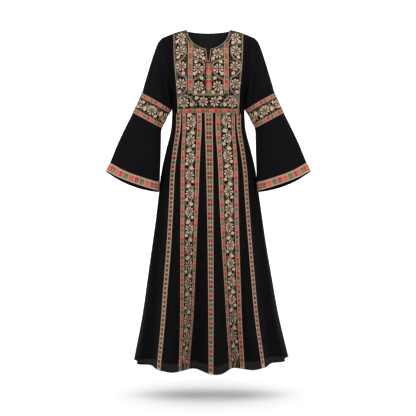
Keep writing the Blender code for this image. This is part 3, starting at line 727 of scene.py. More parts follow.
def skirt_lift(hem_angle, down):
    across = hem_angle * SKIRT_CHART_RADIUS
    return 1.6 * creased(across, down * SKIRT_LENGTH, SKIRT_CREASES, wrap=2 * math.pi * SKIRT_CHART_RADIUS)


def skirt_cloth(hem_angles, downs):
    """Skirt cloth through these cloth lines and shares of the way down."""
    return folded_cloth(skirt_point(hem_angles, downs), -1, skirt_lift(hem_angles, downs))


HEM_TURN = 0.0052
SINGLE_LAYER = 0.034
hem_top = 1 - HEM_TURN / SKIRT_LENGTH
skirt_downs = np.array([*np.linspace(0, hem_top, 150), hem_top + 0.0006, 1.0])
skirt_looks = np.where((skirt_downs[:-1] > 1 - SINGLE_LAYER) & (skirt_downs[:-1] < hem_top - 0.0001), 1, 0)
skirt_gap = SEAM_GAP / 2 / 0.15
skirt_pieces = {}
for name, turn in (("front", 0.0), ("back", math.pi)):
    angles = turn + np.linspace(-math.pi / 2 + skirt_gap, math.pi / 2 - skirt_gap, 221)
    panel = skirt_cloth(*np.meshgrid(angles, skirt_downs))
    panel.points[-2:] += panel.normals[-2:] * 0.0007
    piece = cloth_shell(f"skirt_{name}_cloth", panel, [black_crepe, single_crepe], looks=skirt_looks)
    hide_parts(f"skirt_{name}")
    cut_piece(panel)
    skirt_pieces[name] = piece

# %% [markdown]
# ## Fine cloth for the sleeves
# An armhole always drags: creases run from the shoulder tip down to the underarm and from the
# underarm across the upper arm. Below the band the bell hangs almost free, with a few long folds.
# %% Sleeve cloth
SLEEVE_GIRTH = 0.40
SLEEVE_CREASES = (
    Crease(across=0.085, down=0.02, to_across=0.165, to_down=0.25, width=0.010, lift=-0.0085),
    Crease(across=0.060, down=0.04, to_across=0.140, to_down=0.27, width=0.012, lift=0.0070),
    Crease(across=0.110, down=0.01, to_across=0.185, to_down=0.20, width=0.009, lift=0.0060),
    Crease(across=0.030, down=0.06, to_across=0.075, to_down=0.26, width=0.014, lift=-0.0060),
    Crease(across=0.310, down=0.03, to_across=0.235, to_down=0.26, width=0.013, lift=-0.0050),
    Crease(across=0.345, down=0.05, to_across=0.270, to_down=0.27, width=0.014, lift=0.0045),
    Crease(across=0.205, down=0.02, to_across=0.205, to_down=0.22, width=0.038, lift=0.0088),
    Crease(across=0.205, down=0.15, to_across=0.205, to_down=0.29, width=0.034, lift=0.0066),
    Crease(across=0.010, down=0.38, to_across=0.015, to_down=0.66, width=0.016, lift=0.0040),
    Crease(across=0.062, down=0.36, to_across=0.058, to_down=0.66, width=0.015, lift=-0.0050),
    Crease(across=0.110, down=0.37, to_across=0.112, to_down=0.68, width=0.014, lift=0.0045),
    Crease(across=0.155, down=0.36, to_across=0.160, to_down=0.66, width=0.013, lift=-0.0045),
    Crease(across=0.250, down=0.37, to_across=0.245, to_down=0.66, width=0.015, lift=0.0045),
    Crease(across=0.300, down=0.36, to_across=0.305, to_down=0.67, width=0.015, lift=-0.0050),
    Crease(across=0.355, down=0.38, to_across=0.352, to_down=0.66, width=0.014, lift=0.0040),
)


def sleeve_cloth(turns, rings, mirror):
    """Sleeve cloth at these turns round and rings down; mirror is -1 for the wearer's right."""
    plain = sleeve_point(turns, rings) * np.array([mirror, 1, 1])
    outer_line = np.hypot(np.gradient(column(SLEEVE, "outer_x")), np.gradient(column(SLEEVE, "outer_z")))
    down = np.interp(rings, np.arange(len(SLEEVE)), np.cumsum(outer_line) - outer_line[0])
    lift = creased(turns / (2 * math.pi) * SLEEVE_GIRTH, down, SLEEVE_CREASES, wrap=SLEEVE_GIRTH)
    seam_fade = np.clip(rings * 2, 0, 1)
    return folded_cloth(plain, mirror, lift * seam_fade, closed=True)


def sleeve_piece(mirror, first_ring, last_ring, rows, columns=168):
    turns = np.linspace(0, 2 * math.pi, columns, endpoint=False)
    return sleeve_cloth(*np.meshgrid(turns, np.linspace(first_ring, last_ring, rows)), mirror)


SEAM_ALLOWANCE = 0.005
sleeve_pieces = {}
for side_name, mirror in (("left", 1), ("right", -1)):
    upper = sleeve_piece(mirror, 0, BAND_BOTTOM_RING, 97)
    flare = sleeve_piece(mirror, BAND_BOTTOM_RING + 0.015, CUFF_RING, 81)
    inward = unit(upper.points[0] - upper.points[1]) * SEAM_ALLOWANCE - upper.normals[0] * 0.0018
    turned_in = Cloth(
        np.concatenate([upper.points[:1] + inward, upper.points]),
        np.concatenate([upper.normals[:1], upper.normals]),
        True,
    )
    # Both sleeve pieces take the lighter crepe, painted light.
    upper_piece = cloth_shell(f"sleeve_upper_{side_name}_cloth", turned_in, [painted_light_sleeve_crepe])
    flare_piece = cloth_shell(f"sleeve_flare_{side_name}_cloth", flare, [painted_light_sleeve_crepe])
    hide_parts(f"sleeve_upper_{side_name}")
    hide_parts(f"sleeve_flare_{side_name}")
    cut_piece(turned_in)
    cut_piece(flare)
    sleeve_pieces[side_name] = upper_piece, flare_piece

# %% [markdown]
# ## Where stitches go
# Embroidery is drawn flat, in metres, on the ribbon or panel that carries it. A ground is that
# ribbon's cloth with a chart, which turns a place on the flat drawing into a row and a column of
# the cloth. Reading the cloth between its rows and columns then gives the stitch's real place.
# %% Grounds for the stitches
BASE_ABOVE = 0.0003
BASE_THICKNESS = 0.0006
Ground = namedtuple("Ground", "cloth chart")


def on_ground(ground, across, down, height):
    """The real points of flat places on a ground, each at its height above the ribbon's face."""
    points, normals, closed = ground.cloth
    rows, columns = points.shape[:2]
    row, col = ground.chart(across, down)
    row = np.clip(row, 0, rows - 1.0001)
    col = col % columns if closed else np.clip(col, 0, columns - 1.0001)
    r, c = np.floor(row).astype(int), np.floor(col).astype(int) % columns
    next_c = (c + 1) % columns
    up, left = (row - r)[..., None], (col - np.floor(col))[..., None]

    def read(grid):
        first = grid[r, c] * (1 - left) + grid[r, next_c] * left
        second = grid[r + 1, c] * (1 - left) + grid[r + 1, next_c] * left
        return first * (1 - up) + second * up

    above = BASE_ABOVE + BASE_THICKNESS + height
    return read(points) + unit(read(normals)) * above[..., None]


def ribbon_ground(cloth, width):
    """A ground for a straight ribbon, and its length: across from its middle line, down along it."""
    rows, columns = cloth.points.shape[:2]
    lengths = metres_along(cloth.points, 0)[:, columns // 2]

    def chart(across, down):
        return np.interp(down, lengths, np.arange(rows)), (0.5 + across / width) * (columns - 1)

    return Ground(cloth, chart), lengths[-1]


# %% [markdown]
# ## One stitch for every motif
# Petals, leaves, vines, squares and edge lines are all worked the same way: satin stitch over a
# path, wider or narrower along it, and padded up in its middle. So one `Stitching` collects them
# all for a ribbon, a patch of little quads at a time, and becomes one mesh at the end.
# %% Satin stitch along a path


class Stitching:
    """All the embroidery on one ground, collected and then made into one mesh."""

    def __init__(self, ground, seed):
        self.ground = ground
        self.random = np.random.default_rng(seed)
        self.points, self.faces, self.uvs, self.looks = [], [], [], []
        self.taken = []
        self.count = 0

    def satin(self, path, half_widths, thread, loft=0.0007, steps=4, lift=0.0):
        """Satin stitch over a flat path of (across, down) points, with a half width at each of them."""
        path = np.asarray(path, dtype=float)
        half = np.broadcast_to(np.asarray(half_widths, dtype=float), len(path))
        run = unit(np.gradient(path, axis=0))
        aside = np.stack([-run[:, 1], run[:, 0]], axis=1)
        place = np.sin(np.linspace(-math.pi / 2, math.pi / 2, steps + 1))
        crown = 0.15 + 0.85 * np.sqrt(np.clip(1 - place**2, 0, 1))
        height = lift + loft * crown * np.minimum(half / 0.002, 1)[:, None]
        height[:, [0, -1]] = -0.0003
        length = np.concatenate([[0], np.cumsum(np.linalg.norm(np.diff(path, axis=0), axis=1))])
        ends = [0, *range(len(path)), -1]
        flat = (path[:, None] + aside[:, None] * (half[:, None] * place)[..., None])[ends]
        height, length, half = height[ends], length[ends], half[ends]
        height[[0, -1]] = -0.0003
        points = on_ground(self.ground, flat[..., 0], flat[..., 1], height)
        start = self.random.uniform(0, 5, 2)
        u = np.repeat(length[:, None], steps + 1, axis=1) + start[0]
        self.add(points, np.stack([u, half[:, None] * place + start[1]], axis=-1), thread)

    def add(self, points, uvs, thread):
        rows, columns = points.shape[:2]
        index = self.count + np.arange(rows * columns).reshape(rows, columns)
        quads = np.stack((index[:-1, :-1], index[:-1, 1:], index[1:, 1:], index[1:, :-1]), axis=-1)
        self.points.append(points.reshape(-1, 3))
        self.faces.append(quads.reshape(-1, 4))
        self.uvs.append(uvs.reshape(-1, 2))
        self.looks.append(np.full(quads[..., 0].size, THREAD_NAMES.index(thread)))
        self.count += rows * columns

    def finished(self, name):
        parts = [np.concatenate(part) for part in (self.points, self.faces, self.uvs, self.looks)]
        print(name, "has", len(parts[1]), "quads of stitching")
        return mesh_object(name, *parts, THREADS.values())


# %% [markdown]
# ## Flowers, buds and leaves
# A rosette is a ring of rounded petals round a small raised heart. A bud is three short petals in
# a fan and a leaf is two curled lines, so they share the petal. Every petal is a path from near
# the flower's heart outwards, widest close to its tip.
# %% Flowers, buds and leaves
PETAL_SHAPE = (
    (0.30, 0.06), (0.46, 0.09), (0.60, 0.15), (0.74, 0.215), (0.86, 0.23), (0.95, 0.17), (1.0, 0.06),
)


def petal(stitching, centre, turn, reach, thread="petal", shape=PETAL_SHAPE, lift=0.0):
    out = np.array([math.sin(turn), -math.cos(turn)])
    path = [centre + out * share * reach for share, _ in shape]
    stitching.satin(path, [half * reach for _, half in shape], thread, lift=lift)


def dot(stitching, centre, radius, thread, lift=0.0):
    share = np.linspace(-0.98, 0.98, 7)
    path = np.asarray(centre) + np.stack([share * 0, share * radius], axis=1)
    stitching.satin(path, radius * np.sqrt(1 - share**2), thread, lift=lift)


def flower(stitching, centre, radius, heart, petals=8, turn=0.0, thread="petal"):
    """A rosette with its centre at a flat place: petals, a dark star on their feet, and its heart."""
    centre = np.asarray(centre)
    stitching.taken.append((*centre, radius))
    dot(stitching, centre, radius * 0.40, "brown", lift=0.0004)
    slim = 1.0 if thread == "petal" else 0.74
    shape = [(share, half * slim) for share, half in PETAL_SHAPE]
    for n in range(petals):
        wobble = stitching.random.uniform(-0.06, 0.06)
        reach = radius * stitching.random.uniform(0.95, 1.04)
        way = turn + wobble + 2 * math.pi * n / petals
        petal(stitching, centre, way, reach, thread, shape, lift=0.0002)
        out = np.array([math.sin(way), -math.cos(way)])
        vein = [centre + out * radius * share for share in (0.36, 0.52, 0.70)]
        stitching.satin(vein, [0.0010, 0.0008, 0.0003], "brown", loft=0.0004, steps=3, lift=0.0008)
    dot(stitching, centre, radius * 0.235, heart, lift=0.0008)


BUD_SHAPE = ((0.0, 0.06), (0.3, 0.20), (0.55, 0.29), (0.8, 0.26), (0.93, 0.15), (1.0, 0.04))


def bud(stitching, centre, size, turn, thread="petal"):
    """A tulip-like bud of three petals that opens towards turn."""
    out = np.array([math.sin(turn), -math.cos(turn)])
    base = np.asarray(centre) - out * size * 0.45
    stitching.taken.append((*centre, size * 0.5))
    for bend, reach in ((-0.62, 0.85), (0.62, 0.85), (0.0, 1.0)):
        petal(stitching, base, turn + bend, size * reach, thread, BUD_SHAPE, lift=0.0002 if bend else 0.0005)
    vein = [base + out * size * share for share in (0.30, 0.50, 0.72)]
    stitching.satin(vein, [0.0004, 0.0010, 0.0004], "brown", loft=0.0004, steps=3, lift=0.0010)


def curl(stitching, centre, size, turn, hand):
    """A curled leaf: two thin lines that bend the same way, with a short vein between them."""
    bend = np.linspace(-1.3, 1.3, 9)
    stitching.taken.append((*centre, size * 0.55))
    for radius, thread, half in ((0.50, "brown", 0.0011), (0.30, "tan", 0.0008), (0.14, "brown", 0.0010)):
        arc = np.stack([hand * np.cos(bend) * radius * size, np.sin(bend) * radius * size * 1.15], axis=1)
        spin = np.array([[math.cos(turn), math.sin(turn)], [-math.sin(turn), math.cos(turn)]])
        taper = np.sqrt(np.clip(1.15 - (bend / 1.35) ** 2, 0, 1))
        stitching.satin(np.asarray(centre) + arc @ spin, half * taper, thread, loft=0.0004)


# %% [markdown]
# ## Vines and garlands
# A vine is a bright line with a dark and a dull one beside it, spread a little wider where it runs
# across, and it may carry small leaves on both sides. A garland lays one vine in long curves past a
# row of flowers and fills its bays. Sprigs are small leaves that go wherever the ground is bare.
# %% Vines and garlands
VINE_LINES = ((-2.4, "sand", 1.5), (0.7, "umber", 1.2), (2.9, "tan", 0.8))


def soft_path(controls, points_each=9):
    """A smooth flat path through control points."""
    controls = np.asarray(controls, dtype=float)
    places = np.concatenate([[0], np.cumsum(np.linalg.norm(np.diff(controls, axis=0), axis=1))])
    at = np.linspace(0, places[-1], points_each * (len(controls) - 1) + 1)
    return np.stack([smooth_curve(places, controls[:, i], at) for i in (0, 1)], axis=1)


def vine(stitching, controls, limit=None, lines=VINE_LINES, spread=1.0, leaves=True):
    path = soft_path(controls)
    run = unit(np.gradient(path, axis=0))
    aside = np.stack([-run[:, 1], run[:, 0]], axis=1)
    open_up = (0.80 + 0.35 * np.abs(run[:, :1])) * spread

    def kept(points):
        if limit:
            points = np.stack([np.clip(points[:, 0], -limit, limit), points[:, 1]], axis=1)
        return points

    stitching.taken += [(*point, 0.0054 * wide) for point, wide in zip(kept(path), open_up[:, 0])]
    for offset, thread, half in lines:
        beside = kept(path + aside * offset * 0.001 * open_up)
        stitching.satin(beside, half * 0.001, thread, loft=0.0005, steps=3)
    if leaves:
        for n in range(3, len(path) - 3, 5):
            hand = 1 if (n // 5) % 2 else -1
            way = run[n] + aside[n] * hand * 1.1
            start = path[n] + aside[n] * hand * 0.0034 * open_up[n, 0]
            tip = kept((start + unit(way) * 0.0075)[None])[0]
            middle = (start + tip) / 2
            thread = ("sand", "tan")[n // 5 % 2]
            stitching.taken.append((*middle, 0.0030))
            stitching.satin([start, middle, tip], [0.0008, 0.0021, 0.0004], thread, loft=0.0005, steps=3)


def sprigs(stitching, low, high, inside, spacing=0.0082):
    """Small leaves wherever the black would still show between the larger motifs."""
    taken = np.array(stitching.taken)
    for n, down in enumerate(np.arange(low[1], high[1], spacing * 0.87)):
        for across in np.arange(low[0] + n % 2 * spacing / 2, high[0], spacing):
            place = np.array([across, down]) + stitching.random.uniform(-0.0010, 0.0010, 2)
            free = np.min(np.linalg.norm(taken[:, :2] - place, axis=1) - taken[:, 2])
            turn = stitching.random.uniform(0, math.pi)
            if free > 0.0019 and inside(*place):
                out = np.array([math.sin(turn), math.cos(turn)]) * 0.0030
                thread = ("brown", "tan", "sand")[int(turn * 10) % 3]
                leaf = [place - out, place, place + out]
                stitching.satin(leaf, [0.0005, 0.0015, 0.0005], thread, 0.0004, 3)


HEARTS = ("wine", "umber", "wine", "red", "deep_red", "umber", "wine", "red", "umber")


def garland(stitching, flowers, radius, reach, first_side, limit, painted_shade_after=99):
    """Flowers down a ribbon, and a vine that winds past them; after the first few the flowers take the darker
    sand thread as painted shade, with slimmer petals.
    """
    flowers = np.asarray(flowers, dtype=float)
    sides = first_side * (-1.0) ** np.arange(len(flowers))
    gaps = np.diff(flowers[:, 1])
    first, last = gaps[0], gaps[-1]
    controls = [flowers[0] + [-sides[0] * reach * 0.8, -first * 0.95], flowers[0] + [0, -first * 0.5]]
    for n, (place, side) in enumerate(zip(flowers, sides)):
        controls.append(place + [side * reach, 0])
        step = gaps[n] if n < len(gaps) else last
        controls.append(place + [0, step * 0.5])
    controls.append(flowers[-1] + [-sides[-1] * reach * 0.8, last * 0.95])
    vine(stitching, controls, limit)
    for n, (place, side) in enumerate(zip(flowers, sides)):
        gap = gaps[min(n, len(gaps) - 1)]
        space = min(gap / 0.0734, 1.05)
        # Painted shade: the later flowers, lower down, take the darker sand thread.
        thread = "petal" if n < painted_shade_after else "sand"
        bud(stitching, place + [-side * 0.0138, 0.0240 * space], 0.0140, -side * 2.6, thread)
        bud(stitching, place + [-side * 0.0070, -0.0300 * space], 0.0180, -side * 0.3, thread)
        curl(stitching, place + [side * 0.0110, -0.0290 * space], 0.0150, side * 0.6, side)
        turn = stitching.random.uniform(-0.1, 0.1)
        flower(stitching, place, radius, HEARTS[n % len(HEARTS)], turn=turn, thread=thread)


# %% [markdown]
# ## Squares and edge lines
# Every ribbon carries the same row of small blocks, green, coral and red in turn, each a cushion
# of satin stitch. The lines along the ribbons' edges are satin stitch over a long straight path.
# %% Squares and edge lines
SQUARE_PITCH = 0.0185
# Painted shade begins this far down a ribbon, in metres.
PAINTED_SHADE_BELOW = 0.50


def square(stitching, across, down, width, length, thread, lift=0.0002):
    """A block of satin stitch, slightly rounded, with two rows of stitches in it."""
    bulge = stitching.random.uniform(0.97, 1.03, 2)
    width, length = width * bulge[0], length * bulge[1]
    shares = np.array([-0.5, -0.47, -0.03, 0.0, 0.03, 0.47, 0.5]) * length
    halves = np.array([0.43, 0.5, 0.5, 0.455, 0.5, 0.5, 0.43]) * width
    path = np.stack([np.full(7, across), down + shares], axis=1)
    stitching.satin(path, halves, thread, loft=0.0006, lift=lift)


def line(stitching, start, end, half_width, thread, loft=0.0003, lift=0.0):
    """A straight line of stitching on the flat drawing."""
    start, end = np.asarray(start, dtype=float), np.asarray(end, dtype=float)
    count = max(2, int(np.linalg.norm(end - start) / 0.006))
    path = start + (end - start) * np.linspace(0, 1, count)[:, None]
    stitching.satin(path, half_width, thread, loft=loft, lift=lift)


def square_row(stitching, across, first, last, size, order, begin=0, pitch=SQUARE_PITCH, taper=0.0):
    """A column of squares down a ribbon, in threads from order; low on the skirt darker threads take the salmon
    and green ones' place, a painted shade.
    """
    for n in range(int((last - first) / pitch) + 1):
        down = first + n * pitch
        thread = order[(begin + n) % len(order)]
        # Painted shade: darker threads stand in for the light falling off towards the hem.
        if down > PAINTED_SHADE_BELOW:
            thread = {"salmon": "brick", "green": "deep_green"}.get(thread, thread)
        square(stitching, across, down, size[0] * (1 - taper * down), size[1], thread)


print("the motifs are ready to sew")


# %% [markdown]
# ## Ribbon cloth
# The plain parts of the ribbons are tan, closely woven with ribs across, so a short sine along the
# ribbon and a finer one across it make the weave and noise breaks it up.
# %% Ribbon cloth
RIBS_PER_METRE = 1250


def ribbon_material(name, dark, light):
    material, start, shader = new_material(name, Specular_IOR_Level=0.25, Sheen_Weight=0.08)
    where, across, down = cloth_coordinates(start)
    ribs = (down * (RIBS_PER_METRE * math.pi)).sine()
    warp = (across * (RIBS_PER_METRE * 2 * math.pi)).sine()
    wear = start.node("ShaderNodeTexNoise", inputs={"Vector": where, "Scale": 160, "Detail": 4})
    shade = (wear * 1.1 - 0.05 + ribs * ribs * 0.15).clamped()
    feed(shade.between(dark, light), shader, "Base Color")
    feed(0.62 + wear * 0.25, shader, "Roughness")
    relief = ribs * ribs + warp * 0.25 + wear * 0.4
    emboss(start, shader, relief, strength=0.5, distance=0.0003)
    return material


tan_ribbon = ribbon_material("tan_ribbon", (0.30, 0.205, 0.130), (0.46, 0.335, 0.225))
black_ground = crepe_material("black_ground", (0.0030, 0.0028, 0.0028), (0.0090, 0.0080, 0.0075), 0.04)

# %% [markdown]
# ## The five skirt ribbons
# The ribbons run the skirt's whole length and follow every flute. Their edges are measured round
# the folds, so that they keep their true width. The wide pair carries garlands between two rows
# of squares; the middle one has squares in pairs and the narrow pair has single ones.
# %% Skirt ribbons
Stripe = namedtuple(
    "Stripe",
    "name waist_angle hip_angle middle_angle knee_angle hem_angle waist_width middle_width hem_width"
)
STRIPES = (
    Stripe("stripe_narrow_right", -40.6, -37.9, -36.0, -37.4, -38.9, 0.0250, 0.0215, 0.0225),
    Stripe("stripe_wide_right", -18.5, -17.1, -18.1, -19.4, -20.9, 0.0835, 0.0710, 0.0650),
    Stripe("stripe_centre", 0.4, 1.1, 1.1, 0.6, -0.3, 0.0320, 0.0235, 0.0230),
    Stripe("stripe_wide_left", 19.3, 18.2, 17.9, 19.0, 20.6, 0.0835, 0.0825, 0.0850),
    Stripe("stripe_narrow_left", 42.3, 39.5, 37.5, 37.2, 38.9, 0.0245, 0.0175, 0.0160),
)
WIDE_ORDER = ("green", "salmon", "red")
CENTRE_ORDER = ("green", "wine", "deep_red")
NARROW_ORDER = ("deep_green", "wine", "deep_red")


def stripe_edges(stripe, down):
    """The cloth lines at a stripe's edges, measured round the folds, so that it has its true width."""
    fine = np.radians(np.linspace(-89, 89, 1425))
    around = skirt_point(fine, np.full_like(fine, down))
    length = np.concatenate([[0], np.cumsum(np.linalg.norm(np.diff(around[:, :2], axis=0), axis=1))])
    places = [stripe.waist_angle, stripe.hip_angle, stripe.middle_angle, stripe.knee_angle, stripe.hem_angle]
    angle = smooth_curve(np.linspace(0, 1, 5), np.radians(places), down)
    centre = np.interp(angle, fine, length)
    widths = np.array([stripe.waist_width, stripe.middle_width, stripe.hem_width])
    half = smooth_curve(np.array([0, 0.5, 1]), widths, down) / 2
    return np.interp([centre - half, centre + half], length, fine)


def stripe_cloth(stripe, columns):
    downs = np.linspace(0.0005, 1, 201)
    edges = np.array([stripe_edges(stripe, down) for down in downs])
    share = np.linspace(0, 1, columns)
    angles = edges[:, :1] + (edges[:, 1:] - edges[:, :1]) * share
    return skirt_cloth(angles, np.repeat(downs[:, None], columns, axis=1))


def dressed(name, node, base, cloth, stitching, *under):
    """Sews the stitching to its ribbon, which stands for the solid and lies on the cloth; under is not used."""
    threads = stitching.finished(f"{name}_threads")
    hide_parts(node)
    slot = "embroidered_cloth" if black_ground in list(base.data.materials) else "woven_ribbon"
    cut_piece(cloth)
    return threads


def squared_ribbon(stripe, across, size, order, begin, first):
    cloth = stripe_cloth(stripe, 9)
    ground, length = ribbon_ground(cloth, stripe.waist_width)
    base = cloth_shell(f"{stripe.name}_ribbon", cloth, [tan_ribbon], BASE_ABOVE, BASE_THICKNESS)
    stitching = Stitching(ground, 11 + begin)
    for side in (-1, 1):
        edge = side * (stripe.waist_width / 2 - 0.0016)
        line(stitching, (edge, 0.001), (edge, length - 0.002), 0.0013, "tan")
    for place in across:
        square_row(stitching, place, first, length - 0.008, size, order, begin)
    return dressed(stripe.name, stripe.name, base, cloth, stitching, skirt_pieces["front"])


SQUARES_ASIDE = 0.0326
OUTER_LINE_ASIDE = 0.0396
INNER_LINE_ASIDE = 0.0252
FLOWER_PITCH = 0.0734


def wide_ribbon(stripe, first_flower, first_side, begin, first_square, painted_shade_after):
    cloth = stripe_cloth(stripe, 25)
    ground, length = ribbon_ground(cloth, stripe.waist_width)
    base = cloth_shell(f"{stripe.name}_ribbon", cloth, [black_ground], BASE_ABOVE, BASE_THICKNESS)
    stitching = Stitching(ground, 31 + begin)
    end = length - 0.001
    for side in (-1, 1):
        border, outer, inner = side * SQUARES_ASIDE, side * OUTER_LINE_ASIDE, side * INNER_LINE_ASIDE
        line(stitching, (border, 0.001), (border, end), 0.0090, "tan", loft=0.0001)
        line(stitching, (outer, 0.001), (outer, end), 0.0019, "tan", lift=0.0001)
        line(stitching, (inner, 0.001), (inner, end), 0.0013, "tan", lift=0.0001)
        size = (0.0142, 0.0152)
        square_row(stitching, border, first_square, length - 0.008, size, WIDE_ORDER, begin, taper=0.16)
    count = int((length + 0.02 - first_flower) / FLOWER_PITCH)
    flowers = [(0.0, first_flower + FLOWER_PITCH * n) for n in range(count)]
    garland(stitching, flowers, 0.0200, 0.0165, first_side, 0.0228, painted_shade_after)
    sprigs(stitching, (-0.0225, 0.003), (0.0226, end), lambda across, down: True)
    return dressed(stripe.name, stripe.name, base, cloth, stitching, skirt_pieces["front"])


narrow_right, wide_right, centre, wide_left, narrow_left = STRIPES
ribbon_threads = {
    "narrow_right": squared_ribbon(narrow_right, (0.0,), (0.0174, 0.0132), NARROW_ORDER, 1, 0.0020),
    "wide_right": wide_ribbon(wide_right, 0.039, 1, 2, 0.018, 7),
    "centre": squared_ribbon(centre, (-0.0063, 0.0063), (0.0122, 0.0148), CENTRE_ORDER, 0, 0.010),
    "wide_left": wide_ribbon(wide_left, 0.030, -1, 0, 0.010, 11),
    "narrow_left": squared_ribbon(narrow_left, (0.0,), (0.0170, 0.0132), NARROW_ORDER, 0, 0.0055),
}
print("sewn ribbons:", ", ".join(ribbon_threads))

# %% [markdown]
# ## The chest panel and the waist ribbon
# On the chest the drawing is simply the front view: across is x and down is the height below the
# shoulders. Flowers stand in columns between two ribbons of squares, a third ribbon of squares
# hangs from the slit, and vines wind between the flowers.
# %% Chest panel
front_cloth = bodice_cloth[-1]
front_shares = bodice_shares(-1)
panel_columns = np.flatnonzero(np.abs(front_shares) <= 1.0001)
panel_part = slice(panel_columns[0], panel_columns[-1] + 1)


edge_heights = np.linspace(WAIST_HEIGHT, 0.02, 200)
edge_places = by_height(BODICE, "panel_edge", edge_heights)
top_shares = np.linspace(0, 1, 400)
top_heights = bodice_top(top_shares, -1)


def chest_ground(rows):
    """A ground on the front bodice between its panel edges: across is x and down is minus z."""
    part_shares, part_rows = front_shares[panel_part], bodice_rows()[rows]

    def chart(across, down):
        height = -down
        share = across / np.interp(height, edge_heights, edge_places)
        trim_top = WAIST_HEIGHT + WAIST_TRIM_WIDTH
        up = (height - trim_top) / (np.interp(np.abs(share), top_shares, top_heights) - trim_top)
        edge_height = np.where(up > 0, trim_top + up * (SHOULDER_TIP_HEIGHT - trim_top), height)
        row = np.interp(edge_height, part_rows, np.arange(len(part_rows)))
        return row, np.interp(share, part_shares, np.arange(len(part_shares)))

    return Ground(part_of(front_cloth, rows, panel_part), chart)


panel_rows = slice(PANEL_ROW, None)
chest = chest_ground(panel_rows)
panel_base = cloth_shell("chest_panel_cloth", chest.cloth, [black_ground], BASE_ABOVE, BASE_THICKNESS)
panel = Stitching(chest, 71)

OUTER_FLOWERS = ((0.1120, 0.0200), (0.1150, 0.0800), (0.1100, 0.1450), (0.1120, 0.2170), (0.0990, 0.2950))
INNER_FLOWERS = ((0.0385, 0.0920), (0.0420, 0.1560), (0.0380, 0.2290))
OUTER_VINE = (
    (0.0990, 0.0300), (0.1200, 0.0520), (0.0965, 0.0640), (0.0930, 0.0860), (0.1060, 0.1120),
    (0.1300, 0.1290), (0.1300, 0.1600), (0.1130, 0.1800), (0.0930, 0.1930), (0.0900, 0.2200),
    (0.0930, 0.2440), (0.1100, 0.2600), (0.1230, 0.2780), (0.1230, 0.3060),
)
INNER_VINE = (
    (0.0640, 0.1130), (0.0420, 0.1200), (0.0200, 0.1330), (0.0175, 0.1530), (0.0250, 0.1750),
    (0.0430, 0.1930), (0.0610, 0.2040), (0.0620, 0.2270), (0.0530, 0.2480),
)
NECK_VINE = ((0.0640, 0.0700), (0.0560, 0.0760), (0.0600, 0.0880), (0.0570, 0.1040))
LOW_VINE = (
    (0.1220, 0.3060), (0.1170, 0.2850), (0.1050, 0.2690), (0.0880, 0.2680), (0.0720, 0.2800),
    (0.0600, 0.2980), (0.0470, 0.3080),
)
OUTER_BUDS = (
    (0.1020, 0.0450, 2.6), (0.1240, 0.1060, -2.5), (0.1020, 0.1740, 2.4), (0.1185, 0.2500, -2.6),
    (0.1290, 0.0400, -2.2),
)
INNER_BUDS = ((0.0200, 0.1130, -2.2), (0.0510, 0.1275, 0.5), (0.0565, 0.1770, 2.2), (0.0270, 0.1960, -0.4))
LOW_BUDS = ((0.0690, 0.3030, 2.0), (0.0480, 0.2770, 0.6), (0.0530, 0.2535, 2.4), (0.0200, 0.2535, -2.4))
STRIP_SQUARES = (
    0.0500, 0.0620, 0.0780, 0.0960, 0.1090, 0.1250, 0.1420, 0.1580, 0.1740, 0.1920, 0.2110, 0.2300, 0.2510,
)
CENTRE_SQUARES = (0.1400, 0.1550, 0.1720, 0.1910, 0.2110, 0.2300, 0.2490)

panel_edge_down = np.linspace(0.003, 0.3195, 46)
panel_edge_line = by_height(BODICE, "panel_edge", -panel_edge_down)
for hand in (-1, 1):
    turned = np.array([hand, 1.0])
    vine(panel, np.array(OUTER_VINE) * turned, leaves=False)
    vine(panel, np.array(INNER_VINE) * turned, leaves=False)
    vine(panel, np.array(LOW_VINE) * turned, spread=0.8)
    vine(panel, np.array(NECK_VINE) * turned, spread=0.6, leaves=False)
    for across, down, turn in OUTER_BUDS + INNER_BUDS + LOW_BUDS:
        bud(panel, (hand * across, down), 0.0150, hand * turn)
    for n, place in enumerate(OUTER_FLOWERS):
        radius, heart = 0.0204 if n else 0.0190, HEARTS[(n + (hand > 0)) % 3]
        flower(panel, np.array(place) * turned, radius, heart, turn=0.2 * n)
    for n, place in enumerate(INNER_FLOWERS):
        flower(panel, np.array(place) * turned, 0.0204, ("deep_red", "wine", "umber")[n], turn=0.2 + 0.2 * n)
    flower(panel, (0.003 + hand * 0.0235, 0.2920), 0.0200, "wine", turn=0.1)
    strip = hand * 0.0740
    line(panel, (strip, 0.0440), (strip, 0.2590), 0.0092, "tan", loft=0.0001)
    for side in (-1, 1):
        edge = strip + side * 0.0084
        line(panel, (edge, 0.0480 - side * hand * 0.004), (edge, 0.2590), 0.0013, "tan", lift=0.0001)
    for n, down in enumerate(STRIP_SQUARES):
        length = 0.0125 if n < 6 else 0.0155
        square(panel, strip, down, 0.0136, length, ("green", "red", "salmon")[n % 3])
    edge = np.stack([hand * (panel_edge_line - 0.0022), panel_edge_down], axis=1)
    panel.satin(edge, 0.0016, "tan", loft=0.0004)
    edge = np.stack([hand * (panel_edge_line - 0.0068), panel_edge_down], axis=1)
    panel.satin(edge, 0.0010, "brown", loft=0.0004)
line(panel, (0.0025, 0.1345), (0.0025, 0.2580), 0.0125, "tan", loft=0.0001)
for n, down in enumerate(CENTRE_SQUARES):
    for side in (-1, 1):
        square(panel, 0.0025 + side * 0.0064, down, 0.0118, 0.0150, ("green", "red", "salmon")[n % 3])
line(panel, (-0.0640, 0.2620), (0.0640, 0.2620), 0.0018, "tan", loft=0.0005, lift=0.0002)
line(panel, (-0.0640, 0.2665), (0.0640, 0.2665), 0.0011, "brown", loft=0.0005)
line(panel, (-0.0640, 0.2575), (0.0640, 0.2575), 0.0011, "brown", loft=0.0005)
